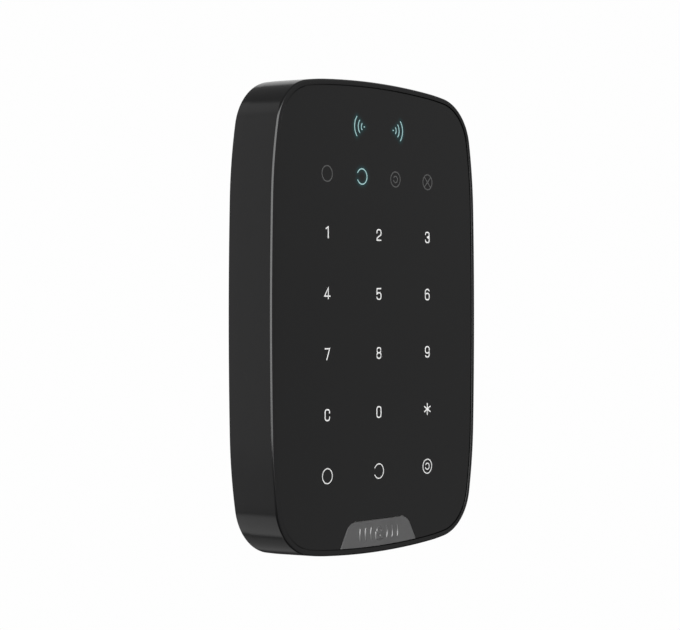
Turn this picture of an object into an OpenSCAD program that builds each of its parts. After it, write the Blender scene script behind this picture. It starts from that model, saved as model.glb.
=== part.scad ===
// Wall-hung keypad and card reader.
// The origin is the middle of the wall plate's back face: +Z is up, the wall is the plane y = 0
// and the touch panel faces -Y. All sizes are in millimetres.

/* [Body] */
// Width across the housing
body_w = 113; // [108:1:140]
// Height of the housing
body_h = 165; // [160:1:200]
// Radius of the four corners
corner_r = 19.2; // [17:0.1:22]
// Radius of the bowed stretch between a side and a corner
flank_r = 168; // [150:1:190]
// Radius of the bowed stretch between a corner and the top edge
shoulder_r = 120; // [100:1:140]
// Thickness of the housing's side walls
wall = 2; // [1.7:0.1:3]
// Draft of the side walls: how far the front's outline lies inside the rear's
draft = 0.5; // [0.2:0.05:0.6]
// Rounding of the housing's front edge
edge_r = 0.9; // [0.4:0.1:1]
// Width of the rim around the touch panel
rim_w = 2.4; // [1.9:0.1:2.8]
// Gap between the wall and the housing's rear edge
rear_gap = 1.2; // [0.6:0.1:1.6]

/* [Touch panel] */
// Thickness of the touch panel
panel_t = 1.2; // [0.8:0.1:2.4]
// Depth of the panel's face behind the rim
panel_recess = 0.35; // [0.2:0.05:0.8]
// Gap between the panel and the rim
panel_gap = 0.3; // [0.2:0.05:0.5]
// Thickness of the tape that holds the panel
tape_t = 0.15; // [0.1:0.05:0.3]
// Width of the ledge that the panel is taped to
ledge_w = 3.5; // [2.5:0.1:5]
// Thickness of the ledge
ledge_t = 1.6; // [1.2:0.1:2.4]
// Thickness of the light guide
guide_t = 0.6; // [0.6:0.1:1.2]
// Thickness of the touch board
touch_t = 0.8; // [0.6:0.1:1.6]
// Thickness of the insulating film behind the touch board
film_t = 0.15; // [0.1:0.05:0.3]

/* [Keys and lights] */
// Distance between columns of keys
key_pitch_x = 27.5; // [24:0.1:30]
// Distance between rows of keys
key_pitch_z = 20.65; // [18:0.05:22]
// Height of the lowest row of keys
key_low_z = -53.75; // [-58:0.05:-50]
// Distance between the status lights
status_pitch = 18.4; // [16:0.1:20]
// Height of the row of status lights
status_z = 48.75; // [47:0.05:52]
// Distance of each card light from the middle
wave_x = 8.2; // [7:0.1:12]
// Height of the card lights
wave_z = 66; // [64:0.1:68]

/* [Badge] */
// Width of the badge's flat top edge
badge_top_w = 25.2; // [20:0.1:32]
// Height of the badge's top edge above the bottom of the housing
badge_h = 11.9; // [10:0.1:14]
// Radius of the badge's top corners
badge_r = 5.5; // [2:0.1:6]
// Lean of the badge's sides from upright, in degrees
badge_lean = 30; // [15:1:40]
// Height of the badge's raised emblem
emblem_t = 0.2; // [0.1:0.05:0.3]

/* [Batteries] */
// Diameter of a cell
cell_d = 14.2; // [13.8:0.1:18]
// Length of a cell over its button
cell_l = 50.5; // [48:0.1:54]
// Gap between two cells
cell_gap = 0.6; // [0.4:0.1:1.5]
// Gap between the cells and the wall plate
cell_back_gap = 0.4; // [0.3:0.05:0.8]
// Gap between the cells and the insulating film
cell_front_gap = 0.3; // [0.2:0.05:0.6]
// Length of a fitted contact spring
spring_l = 5.5; // [4:0.1:7]
// Thickness of the contact strips
strip_t = 0.4; // [0.3:0.05:0.6]

/* [Rear cover] */
// Thickness of the rear cover
cover_t = 1.6; // [1.4:0.1:2.4]
// Gap between the rear cover and the wall plate
cover_gap = 0.3; // [0.2:0.05:0.5]
// Gap around the rear cover inside the housing
cover_fit = 0.15; // [0.1:0.05:0.3]
// Thickness of the ribs and the battery bay's walls
rib_t = 1.2; // [1:0.1:1.8]
// Height of the posts between the rear cover and the main board
post_h = 4.9; // [4.9:0.1:6]

/* [Main board] */
// Thickness of the main board
board_t = 1; // [0.8:0.1:1.6]
// Width of the main board
board_w = 68; // [66:1:72]
// Height of the main board
board_h = 68; // [66:1:74]

/* [Wall plate] */
// Thickness of the wall plate
plate_t = 2; // [1.8:0.1:3]
// Gap around the wall plate inside the housing
plate_fit = 0.3; // [0.2:0.05:0.5]
// Upward travel that frees the reader from the wall plate
slide_travel = 8; // [7:0.1:10]
// Width of each hook
hook_w = 8; // [6:0.1:10]
// Height of each hook's root
hook_root = 3.5; // [3:0.1:5]
// Thickness of each hook's finger
finger_t = 2; // [1.6:0.1:2.4]
// Distance from a hook's middle to the housing's side
hook_inset = 14.5; // [13.5:0.1:16]
// Height of the upper hooks' roots
hook_high_z = 20; // [18:0.1:24]
// Height of the lower hooks' roots
hook_low_z = -22; // [-26:0.1:-20]
// Radius of the wall-screw holes
wall_hole_r = 2.2; // [2:0.1:2.5]
// Height of the upper wall-screw holes
wall_hole_high_z = 50; // [48:0.1:52]
// Height of the lower wall-screw holes
wall_hole_low_z = -46; // [-47:0.1:-44]
// Radius of the room for a wall screw's head
head_room_r = 5.5; // [4.5:0.1:5.5]
// Depth of the room for a wall screw's head, in the rear cover
head_room_t = 2.6; // [2:0.1:2.8]

/* [Tamper plunger] */
// Height of the plunger
plunger_z = 40; // [40:0.1:44]
// Radius of the plunger
plunger_r = 1.75; // [1.5:0.05:2]
// Plunger travel for each millimetre that the reader slides
ramp_slope = 0.1; // [0.06:0.01:0.12]

/* [Power button] */
// Distance of the button from the middle
button_x = 20; // [16:0.1:22]
// Height of the button
button_z = 24; // [20:0.1:30]
// Radius of the button
button_r = 3; // [2.5:0.1:3.5]
// Travel of the button
button_travel = 0.4; // [0.2:0.05:0.5]

/* [Lock screw] */
// Radius of the screw's shank
lock_r = 1.5; // [1.25:0.05:2]
// Thickness of the lip that the screw stands in
lip_t = 3; // [2.8:0.1:3.5]
// Distance of the screw's axis from the wall
lock_y = -4.8; // [-5.2:0.1:-4.6]
// Length of thread that the screw has in the insert
lock_grip = 5.4; // [4:0.1:6]

/* [Hidden] */

$fn = 48;
cut = 0.5;         // how far a cut runs past the face it opens
slack = 0.1;       // clearance of a sliding or turning fit
snug = 0.03;       // clearance of a seated fit
thread_slack = 0.05;

half_w = body_w / 2;
half_h = body_h / 2;

// Depths, built up from the wall to the rim
depth = plate_t + cell_back_gap + cell_d + cell_front_gap + film_t + touch_t + guide_t
    + panel_t + panel_recess;
rim_y = -depth;
panel_y = rim_y + panel_recess;
panel_back = panel_y + panel_t;
ledge_y = panel_back + tape_t;
ledge_back = ledge_y + ledge_t;
touch_y = panel_back + guide_t;
film_y = touch_y + touch_t;
film_back = film_y + film_t;
cell_y = -(plate_t + cell_back_gap + cell_d / 2);
cover_back = -(plate_t + cover_gap);
cover_y = cover_back - cover_t;
board_back = cover_y - post_h;
board_y = board_back - board_t;

// Insets from the housing's outline
ledge_inset = wall + ledge_w;
guide_inset = ledge_inset + 0.2;
panel_inset = rim_w + panel_gap;
cover_inset = wall + cover_fit;
plate_inset = wall + plate_fit;

// The outline: five tangent arcs to a quarter, given by the angles at which one takes over
// from the next. The first and last radii follow from the width and height.
angles = [0, 1.5, 10.2, 81, 85.5, 90];
arc_steps = [2, 4, 18, 2, 3];
run_x = -half_w + flank_r * cos(angles[1]) - (flank_r - corner_r) * cos(angles[2])
    - (corner_r - shoulder_r) * cos(angles[3]) - shoulder_r * cos(angles[4]);
run_z = half_h + flank_r * sin(angles[1]) - (flank_r - corner_r) * sin(angles[2])
    - (corner_r - shoulder_r) * sin(angles[3]) - shoulder_r * sin(angles[4]);
closure = (cos(angles[1]) - 1) * (1 - sin(angles[4])) + cos(angles[4]) * sin(angles[1]);
side_r = (run_x * (1 - sin(angles[4])) + cos(angles[4]) * run_z) / closure;
crown_r = ((cos(angles[1]) - 1) * run_z - sin(angles[1]) * run_x) / closure;
radii = [side_r, flank_r, corner_r, shoulder_r, crown_r];

function polar(r, t) = r * [cos(t), sin(t)];
function arc(c, r, from, to, n) = [for (i = [0:n]) c + polar(r, from + (to - from) * i / n)];
function arc_centre(k) = k == 0 ? [half_w - side_r, 0]
    : arc_centre(k - 1) + polar(radii[k - 1] - radii[k], angles[k]);
function quarter(inset) = concat(
    [for (k = [0:4]) for (i = [0:arc_steps[k] - 1])
        arc_centre(k) + polar(radii[k] - inset,
            angles[k] + (angles[k + 1] - angles[k]) * i / arc_steps[k])],
    [[0, half_h - inset]]);
function outline(inset) = let (q = quarter(inset), n = len(q)) concat(q,
    [for (i = [n - 2:-1:0]) [-q[i].x, q[i].y]],
    [for (i = [1:n - 1]) [-q[i].x, -q[i].y]],
    [for (i = [n - 2:-1:1]) [q[i].x, -q[i].y]]);
function corner_point(inset, t) = arc_centre(2) + polar(corner_r - inset, t);

// Keys and lights
key_columns = [-key_pitch_x, 0, key_pitch_x];
key_rows = [for (i = [0:4]) key_low_z + i * key_pitch_z];
status_columns = [for (i = [-1.5:1:1.5]) i * status_pitch];
led_size = [1.6, 0.5, 0.8];
led_window = [3, 2];

// Badge
badge_top_z = -half_h + badge_h;
badge_arc = [badge_top_w / 2, badge_top_z - badge_r];
badge_gap = 0.2;

// Battery bay
cell_pitch = cell_d + cell_gap;
cell_xs = [for (i = [-1.5:1:1.5]) i * cell_pitch];
nub_h = 1.3;
bay_w = 4 * cell_d + 3 * cell_gap + 0.6;
bay_l = 2 * strip_t + slack + cell_l + spring_l;
bay_low_z = -half_h + 15;
bay_high_z = bay_low_z + bay_l;
bay_end_t = 1.6;
strip_w = 10;

// Main board
board_low_z = bay_high_z + bay_end_t + 3;
board_mid_z = board_low_z + board_h / 2;
post_r = 2.8;
post_x = board_w / 2 - 4;
post_zs = [board_low_z + 6, board_low_z + board_h - 6];
board_hole_r = 1.2;
board_screw_r = 1;

// Housing screws
boss_r = 3;
boss_at = corner_point(wall + 4.2, 25);
housing_screw_r = 1.2;
housing_head_r = 2.3;
housing_head_t = 0.9;
housing_screw_l = 9;

// Hooks and wall screws
hook_x = half_w - hook_inset;
hook_zs = [hook_high_z, hook_low_z];
finger_gap = 0.4;
finger_y = cover_y - finger_gap - finger_t;
finger_h = slide_travel - 1.5;
window_slack = 0.5;
wall_hole_zs = [wall_hole_high_z, wall_hole_low_z];
tamper_hole_z = plunger_z - 12;
head_room_wall = 1.2;

// Tamper plunger
plunger_travel = ramp_slope * slide_travel;
plunger_tip_y = -plate_t - 0.05;
flange_t = 0.8;
flange_r = 2.8;
flange_back = cover_y - plunger_travel - 0.05;
flange_y = flange_back - flange_t;
switch_h = 1.8;
switch_y = board_back + switch_h;
stem_tip_y = switch_y + 0.8;
stem_r = 1;
stem_foot = 0.4;
nose_r = 1.2;

// Power button
button_face_y = cover_back - slack;
button_flange_back = cover_y - 0.05;
button_flange_t = 0.75;
button_stem_tip_y = switch_y + 0.6;
button_stem_r = 1.6;

// Lock screw
lip_low_z = -half_h + 0.3;
lip_top_z = lip_low_z + lip_t;
lip_w = 13;
lip_y = -7.2;
lock_gap = 0.3;
pocket_top_z = lip_top_z + lock_gap;
lock_head_r = 2.7;
lock_head_t = 1.5;
lock_seat_t = lip_t - 1.7;
insert_r = 2.1;
insert_l = 5;
insert_low_z = pocket_top_z + 0.3;
lock_block_t = 2;
lock_block_w = lip_w + 2 * lock_gap + 3.4;
lock_boss_w = 2 * insert_r + 3.6;
lock_boss_top_z = insert_low_z + insert_l + 2.2;
plate_tongue_root = 4;

// ---- Shapes that repeat ----

// Extrudes an XZ outline from y to y + t
module layer(y, t) {
    translate([0, y + t, 0]) rotate([90, 0, 0]) linear_extrude(t) children();
}

// A round bar along Y, from y to y + l
module rod(r, y, l) {
    translate([0, y + l, 0]) rotate([90, 0, 0]) cylinder(h = l, r = r);
}

// A block from y to y + t, centred on its own X and Z
module block(w, y, t, h) {
    translate([-w / 2, y, -h / 2]) cube([w, t, h]);
}

module rounded_rect(w, h, r) {
    square([w - 2 * r, h], center = true);
    square([w, h - 2 * r], center = true);
    for (x = [-1, 1], z = [-1, 1]) translate([x * (w / 2 - r), z * (h / 2 - r)]) circle(r);
}

// A slot whose top circle is centred on the origin and which runs down by l
module slot(r, l) {
    circle(r);
    translate([0, -l]) circle(r);
    translate([-r, -l]) square([2 * r, l]);
}

// A closed ring between two insets of the housing's outline
module outline_ring(outer, inner) {
    difference() {
        polygon(outline(outer));
        polygon(outline(inner));
    }
}

module at_corners(p) {
    for (x = [-1, 1], z = [-1, 1]) translate([x * p.x, 0, z * p.y]) children();
}

module at_grid(xs, zs) {
    for (x = xs, z = zs) translate([x, 0, z]) children();
}

// A coil along +Z: the wire's middle runs from z0 to z1 while its radius goes from r0 to r1
module coil(r0, r1, z0, z1, turns, wire_r) {
    sides = 8;
    steps = ceil(turns * 16);
    rings = [for (i = [0:steps]) let (f = i / steps, t = 360 * turns * f, r = r0 + (r1 - r0) * f)
        for (j = [0:sides - 1]) let (u = 360 * j / sides)
            [(r + wire_r * cos(u)) * cos(t), (r + wire_r * cos(u)) * sin(t),
                z0 + (z1 - z0) * f + wire_r * sin(u)]];
    skin = [for (i = [0:steps - 1]) for (j = [0:sides - 1]) let (k = (j + 1) % sides,
        a = i * sides + j, b = i * sides + k, c = a + sides, d = b + sides)
        each [[a, b, d], [a, d, c]]];
    caps = [[for (j = [sides - 1:-1:0]) j], [for (j = [0:sides - 1]) steps * sides + j]];
    polyhedron(points = rings, faces = concat(skin, caps), convexity = 10);
}

// A pan-head screw pointing to -Y, its head's underside at the origin, with a cross recess
module pan_screw(r, l, head_r, head_t) {
    difference() {
        union() {
            rod(r, -l, l + cut);
            rod(head_r, 0, head_t);
        }
        for (a = [0, 90]) rotate([0, a, 0]) block(1.3 * head_r, head_t * 0.45, head_t, 0.45);
    }
}

// ---- Housing and panel ----

// The badge's outline, grown by a gap; its foot runs past the housing's bottom edge
module badge_shape(grow) {
    foot_z = -half_h - 5;
    side = badge_arc + polar(badge_r + grow, badge_lean);
    foot_x = side.x + (side.y - foot_z) * tan(badge_lean);
    right = concat([[foot_x, foot_z]], arc(badge_arc, badge_r + grow, badge_lean, 90, 6));
    polygon(concat(right, [for (i = [len(right) - 1:-1:0]) [-right[i].x, right[i].y]]));
}

// The side walls run straight for a while at the rear and then lean in towards the front
module housing_skin() {
    straight = 4;
    hull() {
        for (t = [0:30:90])
            layer(rim_y + edge_r * (1 - sin(t)), straight)
                polygon(outline(draft + edge_r * (1 - cos(t))));
        layer(-rear_gap - straight, straight) polygon(outline(0));
    }
}

// Block, boss and walls around the pocket for the wall plate's lip
module lock_block() {
    block_low_z = -half_h + wall / 2;
    block_top_z = pocket_top_z + lock_block_t;
    block_y = lip_y - lock_gap - lock_block_t;
    intersection() {
        union() {
            translate([-lock_block_w / 2, block_y, block_low_z])
                cube([lock_block_w, cover_back - 0.2 - block_y, block_top_z - block_low_z]);
            translate([-lock_boss_w / 2, lock_y - lock_boss_w / 2, pocket_top_z])
                cube([lock_boss_w, cover_back - 0.2 - lock_y + lock_boss_w / 2,
                    lock_boss_top_z - pocket_top_z]);
        }
        layer(rim_y, depth) polygon(outline(wall / 2));
    }
}

module front_housing() {
    pocket_w = lip_w + 2 * lock_gap;
    pocket_y = lip_y - lock_gap;
    color("#2a2a2c") difference() {
        union() {
            difference() {
                housing_skin();
                layer(rim_y - cut, ledge_y - rim_y + cut) polygon(outline(rim_w));
                layer(ledge_y - cut, ledge_t + 2 * cut) polygon(outline(ledge_inset));
                layer(ledge_back, -ledge_back) polygon(outline(wall));
            }
            at_corners(boss_at) rod(boss_r, film_back + 0.1, cover_y - film_back - 0.1);
            lock_block();
        }
        at_corners(boss_at) rod(housing_screw_r + thread_slack,
            cover_back - housing_head_t - housing_screw_l - cut, housing_screw_l + 3);
        translate([-pocket_w / 2, pocket_y, -half_h - cut])
            cube([pocket_w, -pocket_y, pocket_top_z + half_h + cut]);
        translate([0, lock_y, pocket_top_z - cut])
            cylinder(h = lock_boss_top_z - pocket_top_z - 1, r = insert_r + snug);
    }
}

module touch_panel() {
    color("#232325") layer(panel_y, panel_t) difference() {
        polygon(outline(panel_inset));
        badge_shape(badge_gap);
    }
}

// A padlock with contactless waves on both sides
module emblem() {
    line_w = 0.8;
    rise = 2.3;
    translate([0, -0.9]) difference() {
        rounded_rect(4.4, 3.2, 0.5);
        circle(0.6);
    }
    difference() {
        translate([0, 0.6]) circle(1.6);
        translate([0, 0.6]) circle(1.6 - line_w);
        translate([-2, -2]) square([4, 2.6]);
    }
    for (side = [0, 180], r = [5, 7.9, 10.8]) rotate(side) intersection() {
        difference() {
            circle(r);
            circle(r - line_w);
        }
        translate([0, -rise]) square([r + 1, 2 * rise]);
    }
}

module badge() {
    badge_y = panel_y - 0.1;
    emblem_z = (badge_top_z - half_h + panel_inset) / 2;
    color("#626366") {
        layer(badge_y, panel_t + 0.1) intersection() {
            badge_shape(0);
            polygon(outline(panel_inset));
        }
        translate([0, 0, emblem_z]) layer(badge_y - emblem_t, emblem_t + 0.1) emblem();
    }
}

module panel_tape() {
    color("#101010") layer(panel_back, tape_t) outline_ring(panel_inset + 0.4, ledge_inset);
}

// ---- Front boards and lights ----

module light_guide() {
    color("#f4f4ee") layer(panel_back, guide_t) difference() {
        polygon(outline(guide_inset));
        for (x = key_columns, z = key_rows) translate([x, z]) square(led_window, center = true);
        for (x = status_columns) translate([x, status_z]) square(led_window, center = true);
        for (x = [-wave_x, wave_x]) translate([x, wave_z]) square(led_window, center = true);
    }
}

module led() {
    block(led_size.x, touch_y - led_size.y, led_size.y, led_size.z);
}

module key_leds() {
    color("#f6f3d8") at_grid(key_columns, key_rows) led();
}

module indicator_leds() {
    color("#9fe6e2") {
        at_grid(status_columns, [status_z]) led();
        at_grid([-wave_x, wave_x], [wave_z]) led();
    }
}

module touch_board() {
    color("#1c5a33") layer(touch_y, touch_t) difference() {
        polygon(outline(guide_inset));
        for (x = [-1, 1]) translate([x * (half_w - ledge_inset - 8), 0]) circle(1.5);
    }
}

module insulation_film() {
    film_l = bay_l + 2 * bay_end_t;
    color("#d8c36a") translate([0, 0, (bay_low_z + bay_high_z) / 2])
        layer(film_y, film_t) rounded_rect(bay_w + 2 * rib_t, film_l, 1.5);
}

// Flat rectangular spiral: each turn steps inwards where it comes back to its lower left corner
antenna_w = 70;
antenna_h = 26;
antenna_z = board_mid_z + 22;
antenna_t = 0.2;
module reader_antenna() {
    turns = 5;
    pitch = 1.4;
    track = 0.8;
    module run(a, b) {
        low = [min(a.x, b.x), min(a.y, b.y)] - [track, track] / 2;
        high = [max(a.x, b.x), max(a.y, b.y)] + [track, track] / 2;
        translate(low) square(high - low);
    }
    color("#c4803c") translate([0, 0, antenna_z]) layer(film_y, antenna_t)
        for (i = [0:turns - 1]) {
            x = antenna_w / 2 - i * pitch;
            z = antenna_h / 2 - i * pitch;
            start_x = i == 0 ? x : x + pitch;
            run([-start_x, -z], [x, -z]);
            run([x, -z], [x, z]);
            run([x, z], [-x, z]);
            run([-x, z], [-x, -z + pitch]);
        }
}

module ferrite_sheet() {
    color("#4a4744") translate([0, 0, antenna_z])
        layer(film_y + antenna_t, 0.3) rounded_rect(antenna_w + 3, antenna_h + 3, 2);
}

// ---- Main board ----

link_x = 0;
link_z = board_low_z + 8;
link_pins = 6;
link_pitch = 2.54;
link_w = link_pins * link_pitch;
link_h = 2 * link_pitch;
link_split = (board_y + film_y) / 2;

module at_pins() {
    for (i = [0:link_pins - 1], j = [-0.5, 0.5])
        translate([link_x + (i - (link_pins - 1) / 2) * link_pitch, 0, link_z + j * link_pitch])
            children();
}

module board_socket() {
    color("#161616") difference() {
        translate([link_x, 0, link_z]) block(link_w, film_y, link_split - film_y, link_h);
        at_pins() block(0.84, film_y + 0.6, link_split - film_y, 0.84);
    }
}

module board_header() {
    base_t = 2.5;
    color("#c9a227") {
        translate([link_x, 0, link_z]) block(link_w, board_y - base_t, base_t, link_h);
        at_pins() block(0.64, film_y + 1, board_y - film_y - 1 - base_t / 2, 0.64);
    }
}

module main_board() {
    color("#1c5a33") translate([0, 0, board_mid_z]) layer(board_y, board_t) difference() {
        rounded_rect(board_w, board_h, 3);
        for (x = [-post_x, post_x], z = post_zs) translate([x, z - board_mid_z]) circle(board_hole_r);
    }
}

module processor() {
    body = 9;
    lead_pitch = 0.8;
    leads = 10;
    color("#18181a") translate([-18, 0, board_mid_z - 8]) {
        block(body, board_back + 0.15, 1.1, body);
        for (a = [0:90:270], i = [0:leads - 1]) rotate([0, a, 0])
            translate([(i - (leads - 1) / 2) * lead_pitch, 0, body / 2 + 0.5])
                block(0.35, board_back, 0.6, 1.2);
    }
}

module reader_chip() {
    color("#1d1d20") translate([-8, 0, board_mid_z + 20]) {
        block(6, board_back + 0.1, 0.9, 6);
        for (a = [0:90:270], i = [-2:2]) rotate([0, a, 0])
            translate([i * 0.9, 0, 2.9]) block(0.4, board_back, 0.3, 0.6);
    }
}

radio_x = 16;
radio_z = board_mid_z + 12;
module radio_module() {
    color("#b9bcc0") translate([radio_x, 0, radio_z]) {
        block(17, board_back, 0.8, 20);
        layer(board_back + 0.8, 1.8) rounded_rect(15, 16, 0.8);
    }
}

module radio_antenna() {
    turns = 8;
    coil_r = 1.8;
    color("#d09a3a") translate([radio_x - 9, board_back + coil_r + 0.25, radio_z + 13.5])
        rotate([0, 90, 0]) coil(coil_r - 0.3, coil_r - 0.3, 0, 18, turns, 0.3);
}

module buzzer() {
    buzzer_r = 6.2;
    buzzer_t = 5.4;
    color("#202022") translate([-20, 0, board_mid_z + 8]) difference() {
        union() {
            rod(buzzer_r, board_y - buzzer_t, buzzer_t);
            rod(buzzer_r + 0.5, board_y - 1, 1);
        }
        rod(1, board_y - buzzer_t - cut, 2 + cut);
    }
}

// Small chips, capacitors and coils, each a solid of its own
module board_components() {
    color("#8b6a44") {
        for (i = [0:7]) translate([-26 + i * 3.2, 0, board_mid_z - 20])
            block(1.6, board_back, 0.6, 0.8);
        for (i = [0:7]) translate([-26 + i * 3.2, 0, board_mid_z - 23])
            block(1, board_back, 0.5, 0.5);
        for (i = [0:5]) translate([-26, 0, board_mid_z + 6 + i * 2.6])
            block(1.6, board_back, 0.6, 0.8);
    }
    color("#2c2c2e") {
        translate([24, 0, board_mid_z - 20]) layer(board_back, 2.8) rounded_rect(6, 6, 1);
        translate([14, 0, board_mid_z - 22]) block(4, board_back, 1.2, 3);
    }
    color("#c8ccd0") translate([-8, 0, board_mid_z + 12])
        layer(board_back, 1.1) rounded_rect(5, 3.2, 1);
}

module board_screws() {
    head_t = 1.1;
    color("#b8bbc0") at_grid([-post_x, post_x], post_zs)
        mirror([0, 1, 0]) translate([0, -board_y, 0]) pan_screw(board_screw_r, 4.4, 1.9, head_t);
}

// ---- Switches, plunger and button ----

module switch_case(x, z, hole_r) {
    color("#2a2a2a") translate([x, 0, z]) difference() {
        union() {
            block(6, board_back, switch_h, 6);
            for (i = [-1, 1]) translate([i * 3.4, 0, 0]) block(0.8, board_back, 0.6, 1.2);
        }
        rod(hole_r + slack, board_back + stem_foot - slack, switch_h + cut);
    }
}

module tamper_switch() {
    switch_case(0, plunger_z, stem_r);
}

module tamper_switch_stem() {
    color("#e7e4dc") translate([0, 0, plunger_z])
        rod(stem_r, board_back + stem_foot, stem_tip_y - board_back - stem_foot);
}

module tamper_plunger() {
    color("#d9d9d6") translate([0, 0, plunger_z]) {
        rod(plunger_r, flange_back - 0.1, plunger_tip_y - flange_back + 0.1);
        rod(flange_r, flange_y, flange_t);
        rod(nose_r, stem_tip_y, flange_y - stem_tip_y + 0.1);
    }
}

module tamper_spring() {
    wire_r = 0.15;
    coil_r = nose_r + 0.6;
    room = flange_y - switch_y;
    color("#b9bcc0") translate([0, switch_y, plunger_z]) rotate([-90, 0, 0])
        coil(coil_r, coil_r, wire_r + 0.05, room - wire_r - 0.05, 2.5, wire_r);
}

module power_switch() {
    switch_case(button_x, button_z, button_stem_r);
}

module power_switch_stem() {
    foot = button_travel + slack;
    color("#e7e4dc") translate([button_x, 0, button_z])
        rod(button_stem_r, board_back + foot + 0.2, button_stem_tip_y - board_back - foot - 0.2);
}

module power_button() {
    color("#7d7f83") translate([button_x, 0, button_z]) {
        difference() {
            rod(button_r, button_flange_back - 0.1, button_face_y - button_flange_back + 0.1);
            rod(button_r * 0.62, button_face_y - 0.25, cut);
        }
        rod(button_r + 0.9, button_flange_back - button_flange_t, button_flange_t);
        rod(nose_r, button_stem_tip_y,
            button_flange_back - button_flange_t - button_stem_tip_y + 0.1);
    }
}

// ---- Rear cover ----

// Room for a wall screw's head, from the head's place down by the reader's travel
module head_room(grow) {
    slot(head_room_r + grow, slide_travel);
}

module at_wall_holes() {
    at_grid([-hook_x, hook_x], wall_hole_zs) children();
    translate([0, 0, tamper_hole_z]) children();
}

module bay_walls() {
    outer_w = bay_w + 2 * rib_t;
    outer_l = bay_l + 2 * bay_end_t;
    wall_y = film_back + cell_front_gap;
    translate([0, 0, (bay_low_z + bay_high_z) / 2]) layer(wall_y, cover_y - wall_y + 0.1)
        square([outer_w, outer_l], center = true);
}

module rear_cover() {
    window_h = hook_root + slide_travel + window_slack + slack;
    notch_x = lock_block_w / 2 + cover_gap;
    color("#2f2f31") difference() {
        union() {
            layer(cover_y, cover_t) polygon(outline(cover_inset));
            layer(cover_y - 2.5, 2.6) outline_ring(cover_inset, cover_inset + rib_t);
            bay_walls();
            at_grid([-post_x, post_x], post_zs) rod(post_r, board_back, post_h + 0.1);
            at_wall_holes() layer(cover_back - head_room_t - head_room_wall,
                head_room_t + head_room_wall - 0.1) head_room(head_room_wall);
        }
        translate([0, 0, (bay_low_z + bay_high_z) / 2]) layer(rim_y, depth)
            square([bay_w, bay_l], center = true);
        at_wall_holes() layer(cover_back - head_room_t, head_room_t + cut) head_room(0);
        at_grid([-hook_x, hook_x], [for (z = hook_zs) z + hook_root / 2 + slack - window_h / 2])
            block(hook_w + 1, finger_y - cut, 10, window_h);
        at_grid([-post_x, post_x], post_zs)
            rod(board_screw_r + thread_slack, board_back - cut, post_h - 0.7 + cut);
        at_corners(boss_at) {
            rod(boss_r + 0.2, cover_y - 3, 3);
            rod(housing_screw_r + 0.2, cover_y - cut, cover_t + 2 * cut);
            rod(housing_head_r + 0.3, cover_back - housing_head_t - slack, 2);
        }
        translate([0, 0, plunger_z]) rod(plunger_r + slack, cover_y - cut, cover_t + 2 * cut);
        translate([button_x, 0, button_z]) rod(button_r + slack, cover_y - cut, cover_t + 2 * cut);
        translate([-notch_x, cover_y - 4, -half_h])
            cube([2 * notch_x, 6, pocket_top_z + lock_block_t + cover_gap + half_h]);
        translate([-lock_boss_w / 2 - cover_gap, cover_y - 4, -half_h])
            cube([lock_boss_w + 2 * cover_gap, 6, lock_boss_top_z + cover_gap + half_h]);
        for (x = [cell_xs[0], cell_xs[3]])
            translate([x, 0, bay_high_z + bay_end_t / 2])
                block(tail_w + 2 * slack, board_back - slack, strip_t + 2 * slack, bay_end_t + 2 * cut);
    }
}

module housing_screws() {
    color("#8e9196") at_corners(boss_at) translate([0, cover_back - housing_head_t, 0])
        pan_screw(housing_screw_r, housing_screw_l, housing_head_r, housing_head_t - slack);
}

module id_label() {
    color("#e9e9e6") translate([-post_x + 8, 0, button_z + 3])
        layer(cover_back, 0.1) rounded_rect(22, 14, 1);
}

// ---- Batteries and contacts ----

// Cells stand side by side, every other one upside down
module cell(i) {
    up = i % 2 == 1;
    low = bay_low_z + strip_t + spring_l;
    high = bay_high_z - strip_t - spring_l;
    r = cell_d / 2;
    can = cell_l - nub_h;
    color(i % 2 == 1 ? "#3f5f86" : "#38567a")
        translate([cell_xs[i - 1], cell_y, up ? low : high]) mirror([0, 0, up ? 0 : 1])
            rotate_extrude() polygon([[0, 0], [r - 1, 0], [r - 0.4, 0.4], [r - 0.4, 0.9], [r, 1.3],
                [r, can - 0.8], [r - 0.8, can], [4.2, can], [4.2, can - 0.3], [2.9, can - 0.3],
                [2.75, cell_l - 0.3], [2.45, cell_l], [0, cell_l]]);
}

module battery_1() { cell(1); }
module battery_2() { cell(2); }
module battery_3() { cell(3); }
module battery_4() { cell(4); }

module battery_springs() {
    wire_r = 0.4;
    lift = wire_r + 0.02;
    color("#c3c6ca") for (i = [0:3]) {
        up = i % 2 == 0;
        translate([cell_xs[i], cell_y, up ? bay_low_z + strip_t : bay_high_z - strip_t])
            mirror([0, 0, up ? 0 : 1])
                coil(4.6, 2.4, lift, spring_l - lift, 3.5, wire_r);
    }
}

module strip(x0, x1, z) {
    translate([x0 - strip_w / 2, cell_y - strip_w / 2, z])
        cube([x1 - x0 + strip_w, strip_w, strip_t]);
}

module contact_links() {
    color("#c9ccd1") {
        strip(cell_xs[0], cell_xs[1], bay_low_z);
        strip(cell_xs[2], cell_xs[3], bay_low_z);
        strip(cell_xs[1], cell_xs[2], bay_high_z - strip_t);
    }
}

// End contacts, whose tails run up through the bay's end and lie on the main board
tail_w = 4;
module battery_terminals() {
    tail_top_z = board_low_z + 4;
    color("#c9ccd1") for (x = [cell_xs[0], cell_xs[3]]) {
        strip(x, x, bay_high_z - strip_t);
        translate([x - tail_w / 2, board_back, bay_high_z - strip_t])
            cube([tail_w, strip_t, tail_top_z - bay_high_z + strip_t]);
    }
}

// ---- Wall plate and its screw ----

module plate_shape() {
    intersection() {
        polygon(outline(plate_inset));
        translate([0, slide_travel]) polygon(outline(plate_inset));
    }
}

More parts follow.
